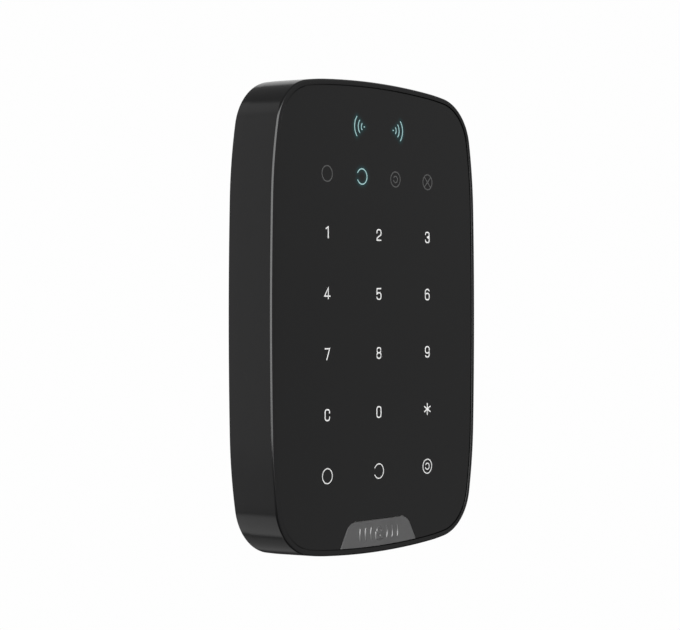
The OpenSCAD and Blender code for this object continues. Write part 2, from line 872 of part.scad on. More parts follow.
// A torn-off part of the plate: slits around it leave narrow bridges
module tamper_slits() {
    slit = 0.9;
    bridge = 1.4;
    tab_w = 18;
    low_z = tamper_hole_z - 8;
    high_z = plunger_z + slide_travel + 6;
    mid_z = (low_z + high_z) / 2;
    tab_h = high_z - low_z;
    translate([0, mid_z]) difference() {
        rounded_rect(tab_w + slit, tab_h + slit, 2.5);
        rounded_rect(tab_w - slit, tab_h - slit, 2);
        for (z = [-0.36, -0.12, 0.12, 0.36]) translate([0, z * tab_h])
            square([2 * tab_w, bridge], center = true);
        for (x = [-0.25, 0.25]) translate([x * tab_w, 0]) square([bridge, 2 * tab_h], center = true);
    }
}

// The groove that the plunger follows: its floor falls away as the reader slides up
module plunger_ramp() {
    low_z = plunger_z - plunger_r;
    run = slide_travel + 2 * plunger_r + 1;
    translate([plunger_r + 0.75, -plate_t, low_z]) rotate([0, -90, 0])
        linear_extrude(2 * plunger_r + 1.5)
            polygon([[0, -cut], [0, 0], [run, ramp_slope * run], [run, -cut]]);
}

module hook() {
    translate([0, 0, 0]) block(hook_w, finger_y, -plate_t - finger_y + 0.1, hook_root);
    translate([0, 0, finger_h / 2]) block(hook_w, finger_y, finger_t, hook_root + finger_h);
}

module wall_plate() {
    tongue_low = lip_low_z;
    tongue_top = -half_h + plate_inset + slide_travel + plate_tongue_root;
    finger_window_z = hook_root / 2 + finger_h / 2 + 0.2;
    color("#3a3a3c") difference() {
        union() {
            layer(-plate_t, plate_t) plate_shape();
            translate([-lip_w / 2, -plate_t, tongue_low])
                cube([lip_w, plate_t, tongue_top - tongue_low]);
            translate([-lip_w / 2, lip_y, lip_low_z]) cube([lip_w, -lip_y, lip_t]);
            at_grid([-hook_x, hook_x], hook_zs) hook();
        }
        at_grid([-hook_x, hook_x], [for (z = hook_zs) z + finger_window_z])
            block(hook_w + 0.4, -plate_t - cut, plate_t + 2 * cut, finger_h + 0.4);
        at_wall_holes() rod(wall_hole_r, -plate_t - cut, plate_t + 2 * cut);
        layer(-plate_t - cut, plate_t + 2 * cut) tamper_slits();
        plunger_ramp();
        translate([0, lock_y, lip_low_z - cut]) cylinder(h = lip_t + 2 * cut, r = lock_r + slack);
        translate([0, lock_y, lip_low_z - cut])
            cylinder(h = lip_t - lock_seat_t + cut, r = lock_head_r + 0.2);
    }
}

module lock_screw() {
    seat_z = lip_top_z - lock_seat_t;
    color("#c3c6ca") translate([0, lock_y, 0]) difference() {
        union() {
            translate([0, 0, seat_z - lock_head_t]) cylinder(h = lock_head_t, r = lock_head_r);
            translate([0, 0, seat_z - 0.1])
                cylinder(h = lock_seat_t + lock_grip + 0.1, r = lock_r);
        }
        for (a = [0, 90]) rotate(a) translate([-1.7, -0.3, seat_z - lock_head_t - cut])
            cube([3.4, 0.6, 0.9 + cut]);
    }
}

module lock_insert() {
    color("#c99a3e") translate([0, lock_y, insert_low_z]) difference() {
        cylinder(h = insert_l, r = insert_r);
        translate([0, 0, -cut]) cylinder(h = insert_l + 2 * cut, r = lock_r + thread_slack);
    }
}

wall_plate();
lock_screw();
front_housing();
touch_panel();
badge();
panel_tape();
light_guide();
key_leds();
indicator_leds();
touch_board();
insulation_film();
reader_antenna();
ferrite_sheet();
board_socket();
board_header();
main_board();
processor();
reader_chip();
radio_module();
radio_antenna();
buzzer();
board_components();
board_screws();
tamper_switch();
tamper_switch_stem();
tamper_plunger();
tamper_spring();
power_switch();
power_switch_stem();
power_button();
rear_cover();
housing_screws();
lock_insert();
battery_1();
battery_2();
battery_3();
battery_4();
battery_springs();
contact_links();
battery_terminals();
id_label();
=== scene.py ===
"""Looks of a wall-hung card reader with a touch keypad.

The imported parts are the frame. This script gives every part its finish, puts finer meshes in
place of the front housing, touch panel and badge, adds the printed and lit legends, and sets up
a plain studio. Sizes inside the classes are in millimetres; objects are in metres.
"""

import logging
import math
from dataclasses import dataclass
from enum import Enum
from functools import cached_property
from typing import Iterable, Sequence

import bmesh
import bpy
from mathutils import Matrix, Vector


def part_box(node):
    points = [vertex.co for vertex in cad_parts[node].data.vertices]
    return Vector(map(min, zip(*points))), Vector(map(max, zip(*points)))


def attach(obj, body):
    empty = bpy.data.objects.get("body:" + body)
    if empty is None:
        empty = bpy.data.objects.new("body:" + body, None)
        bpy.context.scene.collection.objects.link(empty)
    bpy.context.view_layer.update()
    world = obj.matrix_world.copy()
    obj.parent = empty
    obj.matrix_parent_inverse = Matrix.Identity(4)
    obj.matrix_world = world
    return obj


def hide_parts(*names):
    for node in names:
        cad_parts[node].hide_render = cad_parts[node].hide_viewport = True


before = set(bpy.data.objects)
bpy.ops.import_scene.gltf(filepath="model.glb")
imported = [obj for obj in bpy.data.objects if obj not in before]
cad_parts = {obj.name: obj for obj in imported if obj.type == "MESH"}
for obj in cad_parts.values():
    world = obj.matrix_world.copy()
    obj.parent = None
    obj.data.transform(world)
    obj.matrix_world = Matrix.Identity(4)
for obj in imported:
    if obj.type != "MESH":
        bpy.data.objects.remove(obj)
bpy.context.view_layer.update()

MM = 0.001
KEYPAD = "keypad"
LOG = logging.getLogger("card_reader")

Point = tuple[float, float]
Colour = tuple[float, float, float]
WHITE = (1.0, 1.0, 1.0, 1.0)


class Graph:
    """A thin wrapper that adds nodes to a tree and links them."""

    def __init__(self, tree: bpy.types.NodeTree) -> None:
        """Keep the tree that nodes are added to.

        Args:
            tree: The node tree of a material, world or group.
        """
        self.tree = tree

    def add(self, kind: str, **settings: object) -> bpy.types.Node:
        """Add a node.

        Args:
            kind: The node's type name.
            settings: Properties of the node, set as given.

        Returns:
            The new node.
        """
        node = self.tree.nodes.new(kind)
        for name, value in settings.items():
            setattr(node, name, value)
        return node

    def put(self, socket: bpy.types.NodeSocket, value: object) -> None:
        """Link an input to another socket, or set it to a plain value.

        Args:
            socket: The input.
            value: A socket to link, or a plain value.
        """
        if isinstance(value, bpy.types.NodeSocket):
            self.tree.links.new(value, socket)
        else:
            socket.default_value = value

    def feed(self, node: bpy.types.Node, **inputs: object) -> bpy.types.Node:
        """Set or link a node's inputs by name; an underscore stands for a space.

        Args:
            node: The node whose inputs are fed.
            inputs: A socket to link, or a plain value.

        Returns:
            The same node.
        """
        for name, value in inputs.items():
            self.put(node.inputs[name.replace("_", " ")], value)
        return node

    def math(self, operation: str, *values: object) -> bpy.types.NodeSocket:
        """Add a Math node.

        Args:
            operation: The operation's name.
            values: Sockets or numbers, in order.

        Returns:
            The result's socket.
        """
        node = self.add("ShaderNodeMath", operation=operation)
        for socket, value in zip(node.inputs, values):
            self.put(socket, value)
        return node.outputs[0]

    def blend(self, factor: object, first: object, second: object) -> bpy.types.NodeSocket:
        """Mix two colours.

        Args:
            factor: Share of the second colour.
            first: Colour or socket.
            second: Colour or socket.

        Returns:
            The mixed colour's socket.
        """
        node = self.add("ShaderNodeMix", data_type="RGBA")
        for index, value in ((0, factor), (6, first), (7, second)):
            self.put(node.inputs[index], (*value, 1.0) if isinstance(value, tuple) else value)
        return node.outputs[2]

    def spread(self, value: object, low: float, high: float) -> bpy.types.NodeSocket:
        """Map 0..1 to a range.

        Args:
            value: The socket that is mapped.
            low: Result at 0.
            high: Result at 1.

        Returns:
            The mapped value's socket.
        """
        node = self.add("ShaderNodeMapRange")
        self.feed(node, Value=value, To_Min=low, To_Max=high)
        return node.outputs[0]

    def position(self) -> bpy.types.NodeSocket:
        """The shaded point in the object's own coordinates."""
        return self.add("ShaderNodeTexCoord").outputs["Object"]

    def coordinate(self, letter: str) -> bpy.types.NodeSocket:
        """One of the shaded point's coordinates, by its capital letter."""
        split = self.feed(self.add("ShaderNodeSeparateXYZ"), Vector=self.position())
        return split.outputs[letter]


def shaded(colour: Colour, factor: float, lift: float = 0.0) -> Colour:
    """Make a colour lighter or darker, without passing white.

    Args:
        colour: The colour.
        factor: What each channel is multiplied by.
        lift: What is then added to it.

    Returns:
        The new colour.
    """
    return tuple(min(1.0, channel * factor + lift) for channel in colour)


def new_group(name: str, inputs: dict[str, float], outputs: Sequence[str]
              ) -> tuple[bpy.types.NodeTree, Graph, bpy.types.Node, bpy.types.Node]:
    """Start a shader node group with float sockets.

    Args:
        name: The group's name.
        inputs: Input names with their default values.
        outputs: Output names.

    Returns:
        The group, its Graph, the input node and the output node.
    """
    tree = bpy.data.node_groups.new(name, "ShaderNodeTree")
    for label, value in inputs.items():
        socket = tree.interface.new_socket(label, in_out="INPUT", socket_type="NodeSocketFloat")
        socket.default_value = value
    for label in outputs:
        tree.interface.new_socket(label, in_out="OUTPUT", socket_type="NodeSocketFloat")
    graph = Graph(tree)
    return tree, graph, graph.add("NodeGroupInput"), graph.add("NodeGroupOutput")


class SharedGroups:
    """The node groups that several finishes use, each built once."""

    def __init__(self) -> None:
        """Build every group."""
        self.grain = self._grain()
        self.edge_wear = self._edge_wear()
        self.handling = self._handling()
        self.brushing = self._brushing()
        self.tracks = self._tracks()

    @staticmethod
    def _noise(graph: Graph, scale: object, detail: float, rough: float = 0.5) -> bpy.types.Node:
        """Add a noise texture on the object's own coordinates.

        Args:
            graph: Where the node goes.
            scale: Repeats per metre, a number or socket.
            detail: Number of octaves.
            rough: Weight of the finer octaves.

        Returns:
            The noise node.
        """
        return graph.feed(graph.add("ShaderNodeTexNoise"), Vector=graph.position(), Scale=scale,
                          Detail=detail, Roughness=rough)

    def _grain(self) -> bpy.types.NodeTree:
        """Fine spark-eroded grain of moulded plastic.

        Returns:
            A group with inputs Scale and Contrast and outputs Height and Mask.
        """
        tree, graph, inlet, outlet = new_group(
            "fine_grain", {"Scale": 4000.0, "Contrast": 1.0}, ("Height", "Mask"))
        fine = self._noise(graph, inlet.outputs["Scale"], 3.0, 0.6)
        broad_scale = graph.math("MULTIPLY", inlet.outputs["Scale"], 0.05)
        broad = self._noise(graph, broad_scale, 2.0)
        centred = graph.math("SUBTRACT", fine.outputs[0], 0.5)
        scaled = graph.math("MULTIPLY_ADD", centred, inlet.outputs["Contrast"], 0.5)
        graph.feed(outlet, Height=scaled, Mask=broad.outputs[0])
        return tree

    def _edge_wear(self) -> bpy.types.NodeTree:
        """Mask of worn, rubbed edges, broken up by noise.

        Returns:
            A group with inputs Radius and Amount and the output Mask.
        """
        tree, graph, inlet, outlet = new_group(
            "edge_wear", {"Radius": 0.0004, "Amount": 0.5}, ("Mask",))
        bevel = graph.add("ShaderNodeBevel", samples=4)
        graph.feed(bevel, Radius=inlet.outputs["Radius"])
        geometry = graph.add("ShaderNodeNewGeometry")
        dot = graph.add("ShaderNodeVectorMath", operation="DOT_PRODUCT")
        graph.put(dot.inputs[0], bevel.outputs[0])
        graph.put(dot.inputs[1], geometry.outputs["Normal"])
        bend = graph.math("SUBTRACT", 1.0, dot.outputs["Value"])
        edge = graph.math("MULTIPLY", bend, 6.0)
        patches = self._noise(graph, 900.0, 4.0, 0.65)
        broken = graph.math("MULTIPLY", edge, patches.outputs[0])
        amount = graph.math("MULTIPLY", broken, inlet.outputs["Amount"])
        mask = graph.add("ShaderNodeClamp")
        graph.feed(mask, Value=amount)
        graph.feed(outlet, Mask=mask.outputs[0])
        return tree

    def _handling(self) -> bpy.types.NodeTree:
        """Cloudy marks of handling and wiping that change the gloss.

        Returns:
            A group with the input Scale and outputs Smudge and Dust.
        """
        tree, graph, inlet, outlet = new_group(
            "handling", {"Scale": 60.0}, ("Smudge", "Dust"))
        smudge = self._noise(graph, inlet.outputs["Scale"], 5.0, 0.55)
        dust_scale = graph.math("MULTIPLY", inlet.outputs["Scale"], 45.0)
        specks = self._noise(graph, dust_scale, 2.0, 0.7)
        sparse = graph.math("GREATER_THAN", specks.outputs[0], 0.74)
        graph.feed(outlet, Smudge=smudge.outputs[0], Dust=sparse)
        return tree

    def _brushing(self) -> bpy.types.NodeTree:
        """Fine lines of drawn or turned metal, along Z.

        Returns:
            A group with the input Scale and outputs Height and Mask.
        """
        tree, graph, inlet, outlet = new_group(
            "brushing", {"Scale": 3000.0}, ("Height", "Mask"))
        stretch = graph.add("ShaderNodeMapping")
        graph.feed(stretch, Vector=graph.position(), Scale=(1.0, 1.0, 0.06))
        lines = graph.add("ShaderNodeTexNoise")
        graph.feed(lines, Vector=stretch.outputs[0], Scale=inlet.outputs["Scale"], Detail=3.0)
        tarnish = self._noise(graph, 350.0, 4.0, 0.6)
        graph.feed(outlet, Height=lines.outputs[0], Mask=tarnish.outputs[0])
        return tree

    def _tracks(self) -> bpy.types.NodeTree:
        """Copper tracks and round pads under solder resist.

        Returns:
            A group with the input Pitch and outputs Copper and Pads.
        """
        tree, graph, inlet, outlet = new_group(
            "board_tracks", {"Pitch": 700.0}, ("Copper", "Pads"))
        place = graph.position()
        cells = graph.add("ShaderNodeTexVoronoi", distance="MANHATTAN",
                          feature="DISTANCE_TO_EDGE")
        graph.feed(cells, Vector=place, Scale=140.0, Randomness=0.8)
        bus = graph.add("ShaderNodeTexWave", bands_direction="X", wave_profile="SAW")
        wave_scale = graph.math("MULTIPLY", inlet.outputs["Pitch"], 0.5)
        graph.feed(bus, Vector=place, Scale=wave_scale, Distortion=0.0)
        lines = graph.math("GREATER_THAN", bus.outputs["Fac"], 0.55)
        lanes = graph.math("GREATER_THAN", cells.outputs["Distance"], 0.12)
        copper = graph.math("MULTIPLY", lines, lanes)
        dots = graph.add("ShaderNodeTexVoronoi", feature="F1")
        graph.feed(dots, Vector=place, Scale=260.0, Randomness=0.9)
        pads = graph.math("LESS_THAN", dots.outputs["Distance"], 0.12)
        graph.feed(outlet, Copper=copper, Pads=pads)
        return tree


class GroupKind(Enum):
    """The shared groups that a finish can place."""

    GRAIN = "grain"
    EDGE_WEAR = "edge_wear"
    HANDLING = "handling"
    BRUSHING = "brushing"
    TRACKS = "tracks"


@dataclass(frozen=True)
class Finish:
    """What every finish has: a name, a colour and a roughness."""

    name: str
    colour: Colour
    roughness: float = 0.4

    def start(self) -> tuple[bpy.types.Material, Graph, bpy.types.Node]:
        """Make an empty material with a Principled shader.

        Returns:
            The material, its Graph and the shader node.
        """
        material = bpy.data.materials.new(self.name)
        material.use_nodes = True
        material.node_tree.nodes.clear()
        graph = Graph(material.node_tree)
        shader = graph.add("ShaderNodeBsdfPrincipled")
        output = graph.add("ShaderNodeOutputMaterial")
        graph.feed(output, Surface=shader.outputs[0])
        graph.feed(shader, Base_Color=(*self.colour, 1.0), Roughness=self.roughness)
        return material, graph, shader

    @staticmethod
    def place(graph: Graph, groups: SharedGroups, kind: GroupKind,
              **values: float) -> bpy.types.Node:
        """Place a shared group in a material.

        Args:
            graph: The material's graph.
            groups: The shared groups.
            kind: Which group.
            values: Plain values for its inputs.

        Returns:
            The group node.
        """
        node = graph.add("ShaderNodeGroup", node_tree=getattr(groups, kind.value))
        return graph.feed(node, **values)

    @staticmethod
    def bump(graph: Graph, shader: bpy.types.Node, height: object, depth_mm: float) -> None:
        """Feed a height into the shader's normal.

        Args:
            graph: The material's graph.
            shader: The Principled shader.
            height: The height's socket.
            depth_mm: Height of the relief in millimetres.
        """
        node = graph.add("ShaderNodeBump")
        graph.feed(node, Height=height, Strength=1.0, Distance=depth_mm * MM)
        graph.feed(shader, Normal=node.outputs[0])

    def build(self, groups: SharedGroups) -> bpy.types.Material:
        """Build the material.

        Args:
            groups: The shared node groups.

        Returns:
            The finished material.
        """
        raise NotImplementedError


@dataclass(frozen=True)
class MouldedPlastic(Finish):
    """Injection-moulded plastic with grain, handling marks and rubbed edges."""

    grain_scale: float = 4000.0
    grain_mm: float = 0.004
    wear: float = 0.35
    specular: float = 0.5

    def build(self, groups: SharedGroups) -> bpy.types.Material:
        """Build the material.

        Args:
            groups: The shared node groups.

        Returns:
            The finished material.
        """
        material, graph, shader = self.start()
        grain = self.place(graph, groups, GroupKind.GRAIN, Scale=self.grain_scale)
        marks = self.place(graph, groups, GroupKind.HANDLING, Scale=70.0)
        wear = self.place(graph, groups, GroupKind.EDGE_WEAR, Amount=self.wear)
        base = graph.blend(grain.outputs["Mask"], shaded(self.colour, 0.82),
                           shaded(self.colour, 1.12))
        worn = graph.blend(wear.outputs["Mask"], base, shaded(self.colour, 1.5, 0.012))
        dusted = graph.blend(graph.math("MULTIPLY", marks.outputs["Dust"], 0.10), worn,
                             (0.30, 0.29, 0.27))
        rough = graph.spread(marks.outputs["Smudge"], self.roughness * 0.85,
                             self.roughness * 1.18)
        graph.feed(shader, Base_Color=dusted, Roughness=rough, Specular_IOR_Level=self.specular)
        self.bump(graph, shader, grain.outputs["Height"], self.grain_mm)
        return material


@dataclass(frozen=True)
class PrintedPanel(Finish):
    """Smooth black touch panel, wiped by hand, with faint streaks in its gloss."""

    specular: float = 0.5

    def build(self, groups: SharedGroups) -> bpy.types.Material:
        """Build the material.

        Args:
            groups: The shared node groups.

        Returns:
            The finished material.
        """
        material, graph, shader = self.start()
        marks = self.place(graph, groups, GroupKind.HANDLING, Scale=38.0)
        grain = self.place(graph, groups, GroupKind.GRAIN, Scale=9000.0)
        wear = self.place(graph, groups, GroupKind.EDGE_WEAR, Amount=0.2, Radius=0.0002)
        cloudy = graph.blend(marks.outputs["Smudge"], shaded(self.colour, 0.92),
                             shaded(self.colour, 1.08))
        edged = graph.blend(wear.outputs["Mask"], cloudy, (0.04, 0.04, 0.042))
        rough = graph.spread(marks.outputs["Smudge"], self.roughness * 0.9,
                             self.roughness * 1.12)
        graph.feed(shader, Base_Color=edged, Roughness=rough, Specular_IOR_Level=self.specular)
        self.bump(graph, shader, grain.outputs["Height"], 0.0006)
        return material


@dataclass(frozen=True)
class GlowingPanel(PrintedPanel):
    """The panel's own finish with light that leaks around a lit icon."""

    glow_colour: Colour = (0.0, 0.03, 0.035)

    def build(self, groups: SharedGroups) -> bpy.types.Material:
        """Build the material.

        Args:
            groups: The shared node groups.

        Returns:
            The finished material.
        """
        material = super().build(groups)
        graph = Graph(material.node_tree)
        shader = next(n for n in material.node_tree.nodes if n.type == "BSDF_PRINCIPLED")
        glow = graph.add("ShaderNodeAttribute", attribute_name="glow")
        tint = graph.blend(glow.outputs["Fac"], (0.0, 0.0, 0.0), self.glow_colour)
        graph.feed(shader, Emission_Color=tint, Emission_Strength=1.0)
        return material


@dataclass(frozen=True)
class Ink(Finish):
    """Legend ink over a translucent window; glow backlights it, and is a painted glow on unlit
    icons.
    """

    glow: float = 0.0
    glow_colour: Colour = (1.0, 1.0, 1.0)

    def build(self, groups: SharedGroups) -> bpy.types.Material:
        """Build the material.

        Args:
            groups: The shared node groups.

        Returns:
            The finished material.
        """
        material, graph, shader = self.start()
        grain = self.place(graph, groups, GroupKind.GRAIN, Scale=2500.0)
        uneven = graph.blend(grain.outputs["Height"], shaded(self.colour, 0.9),
                             shaded(self.colour, 1.08))
        rough = graph.spread(grain.outputs["Mask"], self.roughness * 0.9, self.roughness * 1.1)
        lit = graph.blend(grain.outputs["Height"], shaded(self.glow_colour, 0.92),
                          shaded(self.glow_colour, 1.06))
        graph.feed(shader, Base_Color=uneven, Roughness=rough, Emission_Color=lit,
                   Emission_Strength=self.glow)
        return material


@dataclass(frozen=True)
class Metal(Finish):
    """Drawn, turned or stamped metal with fine lines and light tarnish."""

    line_scale: float = 3000.0
    line_mm: float = 0.003
    tarnish: Colour = (0.25, 0.22, 0.18)

    def build(self, groups: SharedGroups) -> bpy.types.Material:
        """Build the material.

        Args:
            groups: The shared node groups.

        Returns:
            The finished material.
        """
        material, graph, shader = self.start()
        lines = self.place(graph, groups, GroupKind.BRUSHING, Scale=self.line_scale)
        wear = self.place(graph, groups, GroupKind.EDGE_WEAR, Amount=0.6, Radius=0.0002)
        dull = graph.math("MULTIPLY", lines.outputs["Mask"], 0.35)
        tone = graph.blend(dull, self.colour, self.tarnish)
        edged = graph.blend(wear.outputs["Mask"], tone, shaded(self.colour, 1.2))
        rough = graph.spread(lines.outputs["Mask"], self.roughness * 0.75, self.roughness * 1.4)
        graph.feed(shader, Base_Color=edged, Roughness=rough, Metallic=1.0)
        self.bump(graph, shader, lines.outputs["Height"], self.line_mm)
        return material


@dataclass(frozen=True)
class CircuitBoard(Finish):
    """Solder resist over copper tracks, with tinned pads."""

    resist: Colour = (0.03, 0.20, 0.08)

    def build(self, groups: SharedGroups) -> bpy.types.Material:
        """Build the material.

        Args:
            groups: The shared node groups.

        Returns:
            The finished material.
        """
        material, graph, shader = self.start()
        tracks = self.place(graph, groups, GroupKind.TRACKS)
        grain = self.place(graph, groups, GroupKind.GRAIN, Scale=1500.0)
        over_copper = graph.blend(tracks.outputs["Copper"], self.colour, self.resist)
        mottled = graph.blend(graph.math("MULTIPLY", grain.outputs["Mask"], 0.25), over_copper,
                              (0.01, 0.05, 0.02))
        padded = graph.blend(tracks.outputs["Pads"], mottled, (0.62, 0.60, 0.52))
        rough = graph.spread(tracks.outputs["Pads"], self.roughness, 0.22)
        height = graph.math("MULTIPLY_ADD", tracks.outputs["Copper"], 0.6,
                            tracks.outputs["Pads"])
        graph.feed(shader, Base_Color=padded, Roughness=rough,
                   Metallic=graph.math("MULTIPLY", tracks.outputs["Pads"], 0.9))
        self.bump(graph, shader, height, 0.03)
        return material


@dataclass(frozen=True)
class CellWrap(Finish):
    """Shrink wrap on a dry cell: a coloured sleeve with a lighter band at the button end."""

    band: Colour = (0.55, 0.42, 0.16)
    low_z: float = -0.06
    high_z: float = -0.01
    button_up: bool = True
    band_from: float = 0.72
    wrapped: float = 0.964

    def build(self, groups: SharedGroups) -> bpy.types.Material:
        """Build the material.

        Args:
            groups: The shared node groups.

        Returns:
            The finished material.
        """
        material, graph, shader = self.start()
        marks = self.place(graph, groups, GroupKind.HANDLING, Scale=220.0)
        wear = self.place(graph, groups, GroupKind.EDGE_WEAR, Amount=0.5, Radius=0.0003)
        above_foot = graph.math("SUBTRACT", graph.coordinate("Z"), self.low_z)
        share = graph.math("DIVIDE", above_foot, self.high_z - self.low_z)
        along = share if self.button_up else graph.math("SUBTRACT", 1.0, share)
        banded = graph.blend(graph.math("GREATER_THAN", along, self.band_from), self.colour,
                             self.band)
        from_middle = graph.math("ABSOLUTE", graph.math("SUBTRACT", along, self.wrapped / 2))
        metal = graph.math("GREATER_THAN", from_middle, self.wrapped / 2)
        ended = graph.blend(metal, banded, (0.62, 0.62, 0.60))
        worn = graph.blend(wear.outputs["Mask"], ended, (0.60, 0.60, 0.58))
        rough = graph.spread(marks.outputs["Smudge"], 0.22, 0.42)
        graph.feed(shader, Base_Color=worn, Roughness=rough, Metallic=metal)
        self.bump(graph, shader, marks.outputs["Smudge"], 0.01)
        return material


@dataclass(frozen=True)
class GoldPinsInBase(Finish):
    """Black moulded base with gold-plated pins, told apart by distance from the board."""

    base_front_y: float = -0.012

    def build(self, groups: SharedGroups) -> bpy.types.Material:
        """Build the material.

        Args:
            groups: The shared node groups.

        Returns:
            The finished material.
        """
        material, graph, shader = self.start()
        lines = self.place(graph, groups, GroupKind.BRUSHING, Scale=5000.0)
        is_pin = graph.math("LESS_THAN", graph.coordinate("Y"), self.base_front_y)
        gold = graph.blend(graph.math("MULTIPLY", lines.outputs["Mask"], 0.4), self.colour,
                           (0.42, 0.28, 0.08))
        tone = graph.blend(is_pin, (0.018, 0.018, 0.019), gold)
        graph.feed(shader, Base_Color=tone, Metallic=is_pin,
                   Roughness=graph.spread(is_pin, 0.5, 0.25))
        self.bump(graph, shader, lines.outputs["Height"], 0.003)
        return material


def polar(radius: float, degrees: float, centre: Point = (0.0, 0.0)) -> Point:
    """A point at a distance and angle from a centre.

    Args:
        radius: The distance.
        degrees: The angle from +X.
        centre: The centre.

    Returns:
        The point.
    """
    angle = math.radians(degrees)
    return centre[0] + radius * math.cos(angle), centre[1] + radius * math.sin(angle)


def arc(centre: Point, radius: float, start: float, end: float, steps: int = 24) -> list[Point]:
    """Points along an arc, both ends included.

    Args:
        centre: The arc's centre.
        radius: The arc's radius.
        start: First angle in degrees.
        end: Last angle in degrees.
        steps: Number of chords.

    Returns:
        The points.
    """
    return [polar(radius, start + (end - start) * i / steps, centre) for i in range(steps + 1)]


def circle(centre: Point, radius: float, sides: int) -> list[Point]:
    """A closed circle, as a loop whose last point isn't repeated."""
    return arc(centre, radius, 0, 360, sides)[:-1]


def grown(points: Sequence[Point], amount: float) -> list[Point]:
    """Offset a closed counter-clockwise outline outwards, with mitred corners.

    Args:
        points: The outline.
        amount: Distance outwards; negative goes inwards.

    Returns:
        The offset outline, point for point.
    """
    count = len(points)
    moved = []
    for i, (x, z) in enumerate(points):
        before, after = Vector(points[i - 1]), Vector(points[(i + 1) % count])
        into, out = (Vector((x, z)) - before).normalized(), (after - Vector((x, z))).normalized()
        normal = Vector((into.y + out.y, -into.x - out.x))
        if normal.length < 1e-6:
            normal = Vector((into.y, -into.x))
        normal.normalize()
        stretch = 1.0 / max(0.5, normal.dot(Vector((into.y, -into.x))))
        moved.append((x + normal.x * amount * stretch, z + normal.y * amount * stretch))
    return moved


@dataclass(frozen=True)
class Outline:
    """The housing's outline: five tangent arcs to a quarter."""

    half_w: float = 56.5
    half_h: float = 82.5
    flank_r: float = 168.0
    corner_r: float = 19.2
    shoulder_r: float = 120.0
    angles: tuple[float, ...] = (0.0, 1.5, 10.2, 81.0, 85.5, 90.0)
    steps: tuple[int, ...] = (8, 10, 48, 6, 8)

    @cached_property
    def arcs(self) -> list[tuple[Point, float]]:
        """Centre and radius of each arc; the end radii follow from the width and height."""
        c = [math.cos(math.radians(a)) for a in self.angles]
        s = [math.sin(math.radians(a)) for a in self.angles]
        inner = self.flank_r - self.corner_r
        outer = self.corner_r - self.shoulder_r
        run_x = -self.half_w + self.flank_r * c[1] - inner * c[2] - outer * c[3] \
            - self.shoulder_r * c[4]
        run_z = self.half_h + self.flank_r * s[1] - inner * s[2] - outer * s[3] \
            - self.shoulder_r * s[4]
        closure = (c[1] - 1) * (1 - s[4]) + c[4] * s[1]
        side_r = (run_x * (1 - s[4]) + c[4] * run_z) / closure
        crown_r = ((c[1] - 1) * run_z - s[1] * run_x) / closure
        radii = [side_r, self.flank_r, self.corner_r, self.shoulder_r, crown_r]
        centres = [(self.half_w - side_r, 0.0)]
        for k in range(1, 5):
            centres.append(polar(radii[k - 1] - radii[k], self.angles[k], centres[-1]))
        return list(zip(centres, radii))

    def quarter(self, inset: float) -> list[Point]:
        """Points of the quarter from the right side to the top.

        Args:
            inset: Distance inside the outline.

        Returns:
            The points, both ends included.
        """
        points = []
        for k, (centre, radius) in enumerate(self.arcs):
            run = arc(centre, radius - inset, self.angles[k], self.angles[k + 1], self.steps[k])
            points += run[:-1]
        return points + [(0.0, self.half_h - inset)]

    def ring(self, inset: float) -> list[Point]:
        """The whole outline, counter-clockwise from the right side.

        Args:
            inset: Distance inside the outline.

        Returns:
            The points of the closed outline.
        """
        q = self.quarter(inset)
        return (q + [(-x, z) for x, z in q[-2::-1]] + [(-x, -z) for x, z in q[1:]]
                + [(x, -z) for x, z in q[-2:0:-1]])

    def corner(self, inset: float, degrees: float) -> Point:
        """A point on the upper right corner's arc.

        Args:
            inset: Distance inside the outline.
            degrees: The angle of the outline's normal there.

        Returns:
            The point.
        """
        centre, radius = self.arcs[2]
        return polar(radius - inset, degrees, centre)


def add_object(name: str, data: bpy.types.ID) -> bpy.types.Object:
    """Put an object with this name and data in the scene."""
    made = bpy.data.objects.new(name, data)
    bpy.context.scene.collection.objects.link(made)
    return made


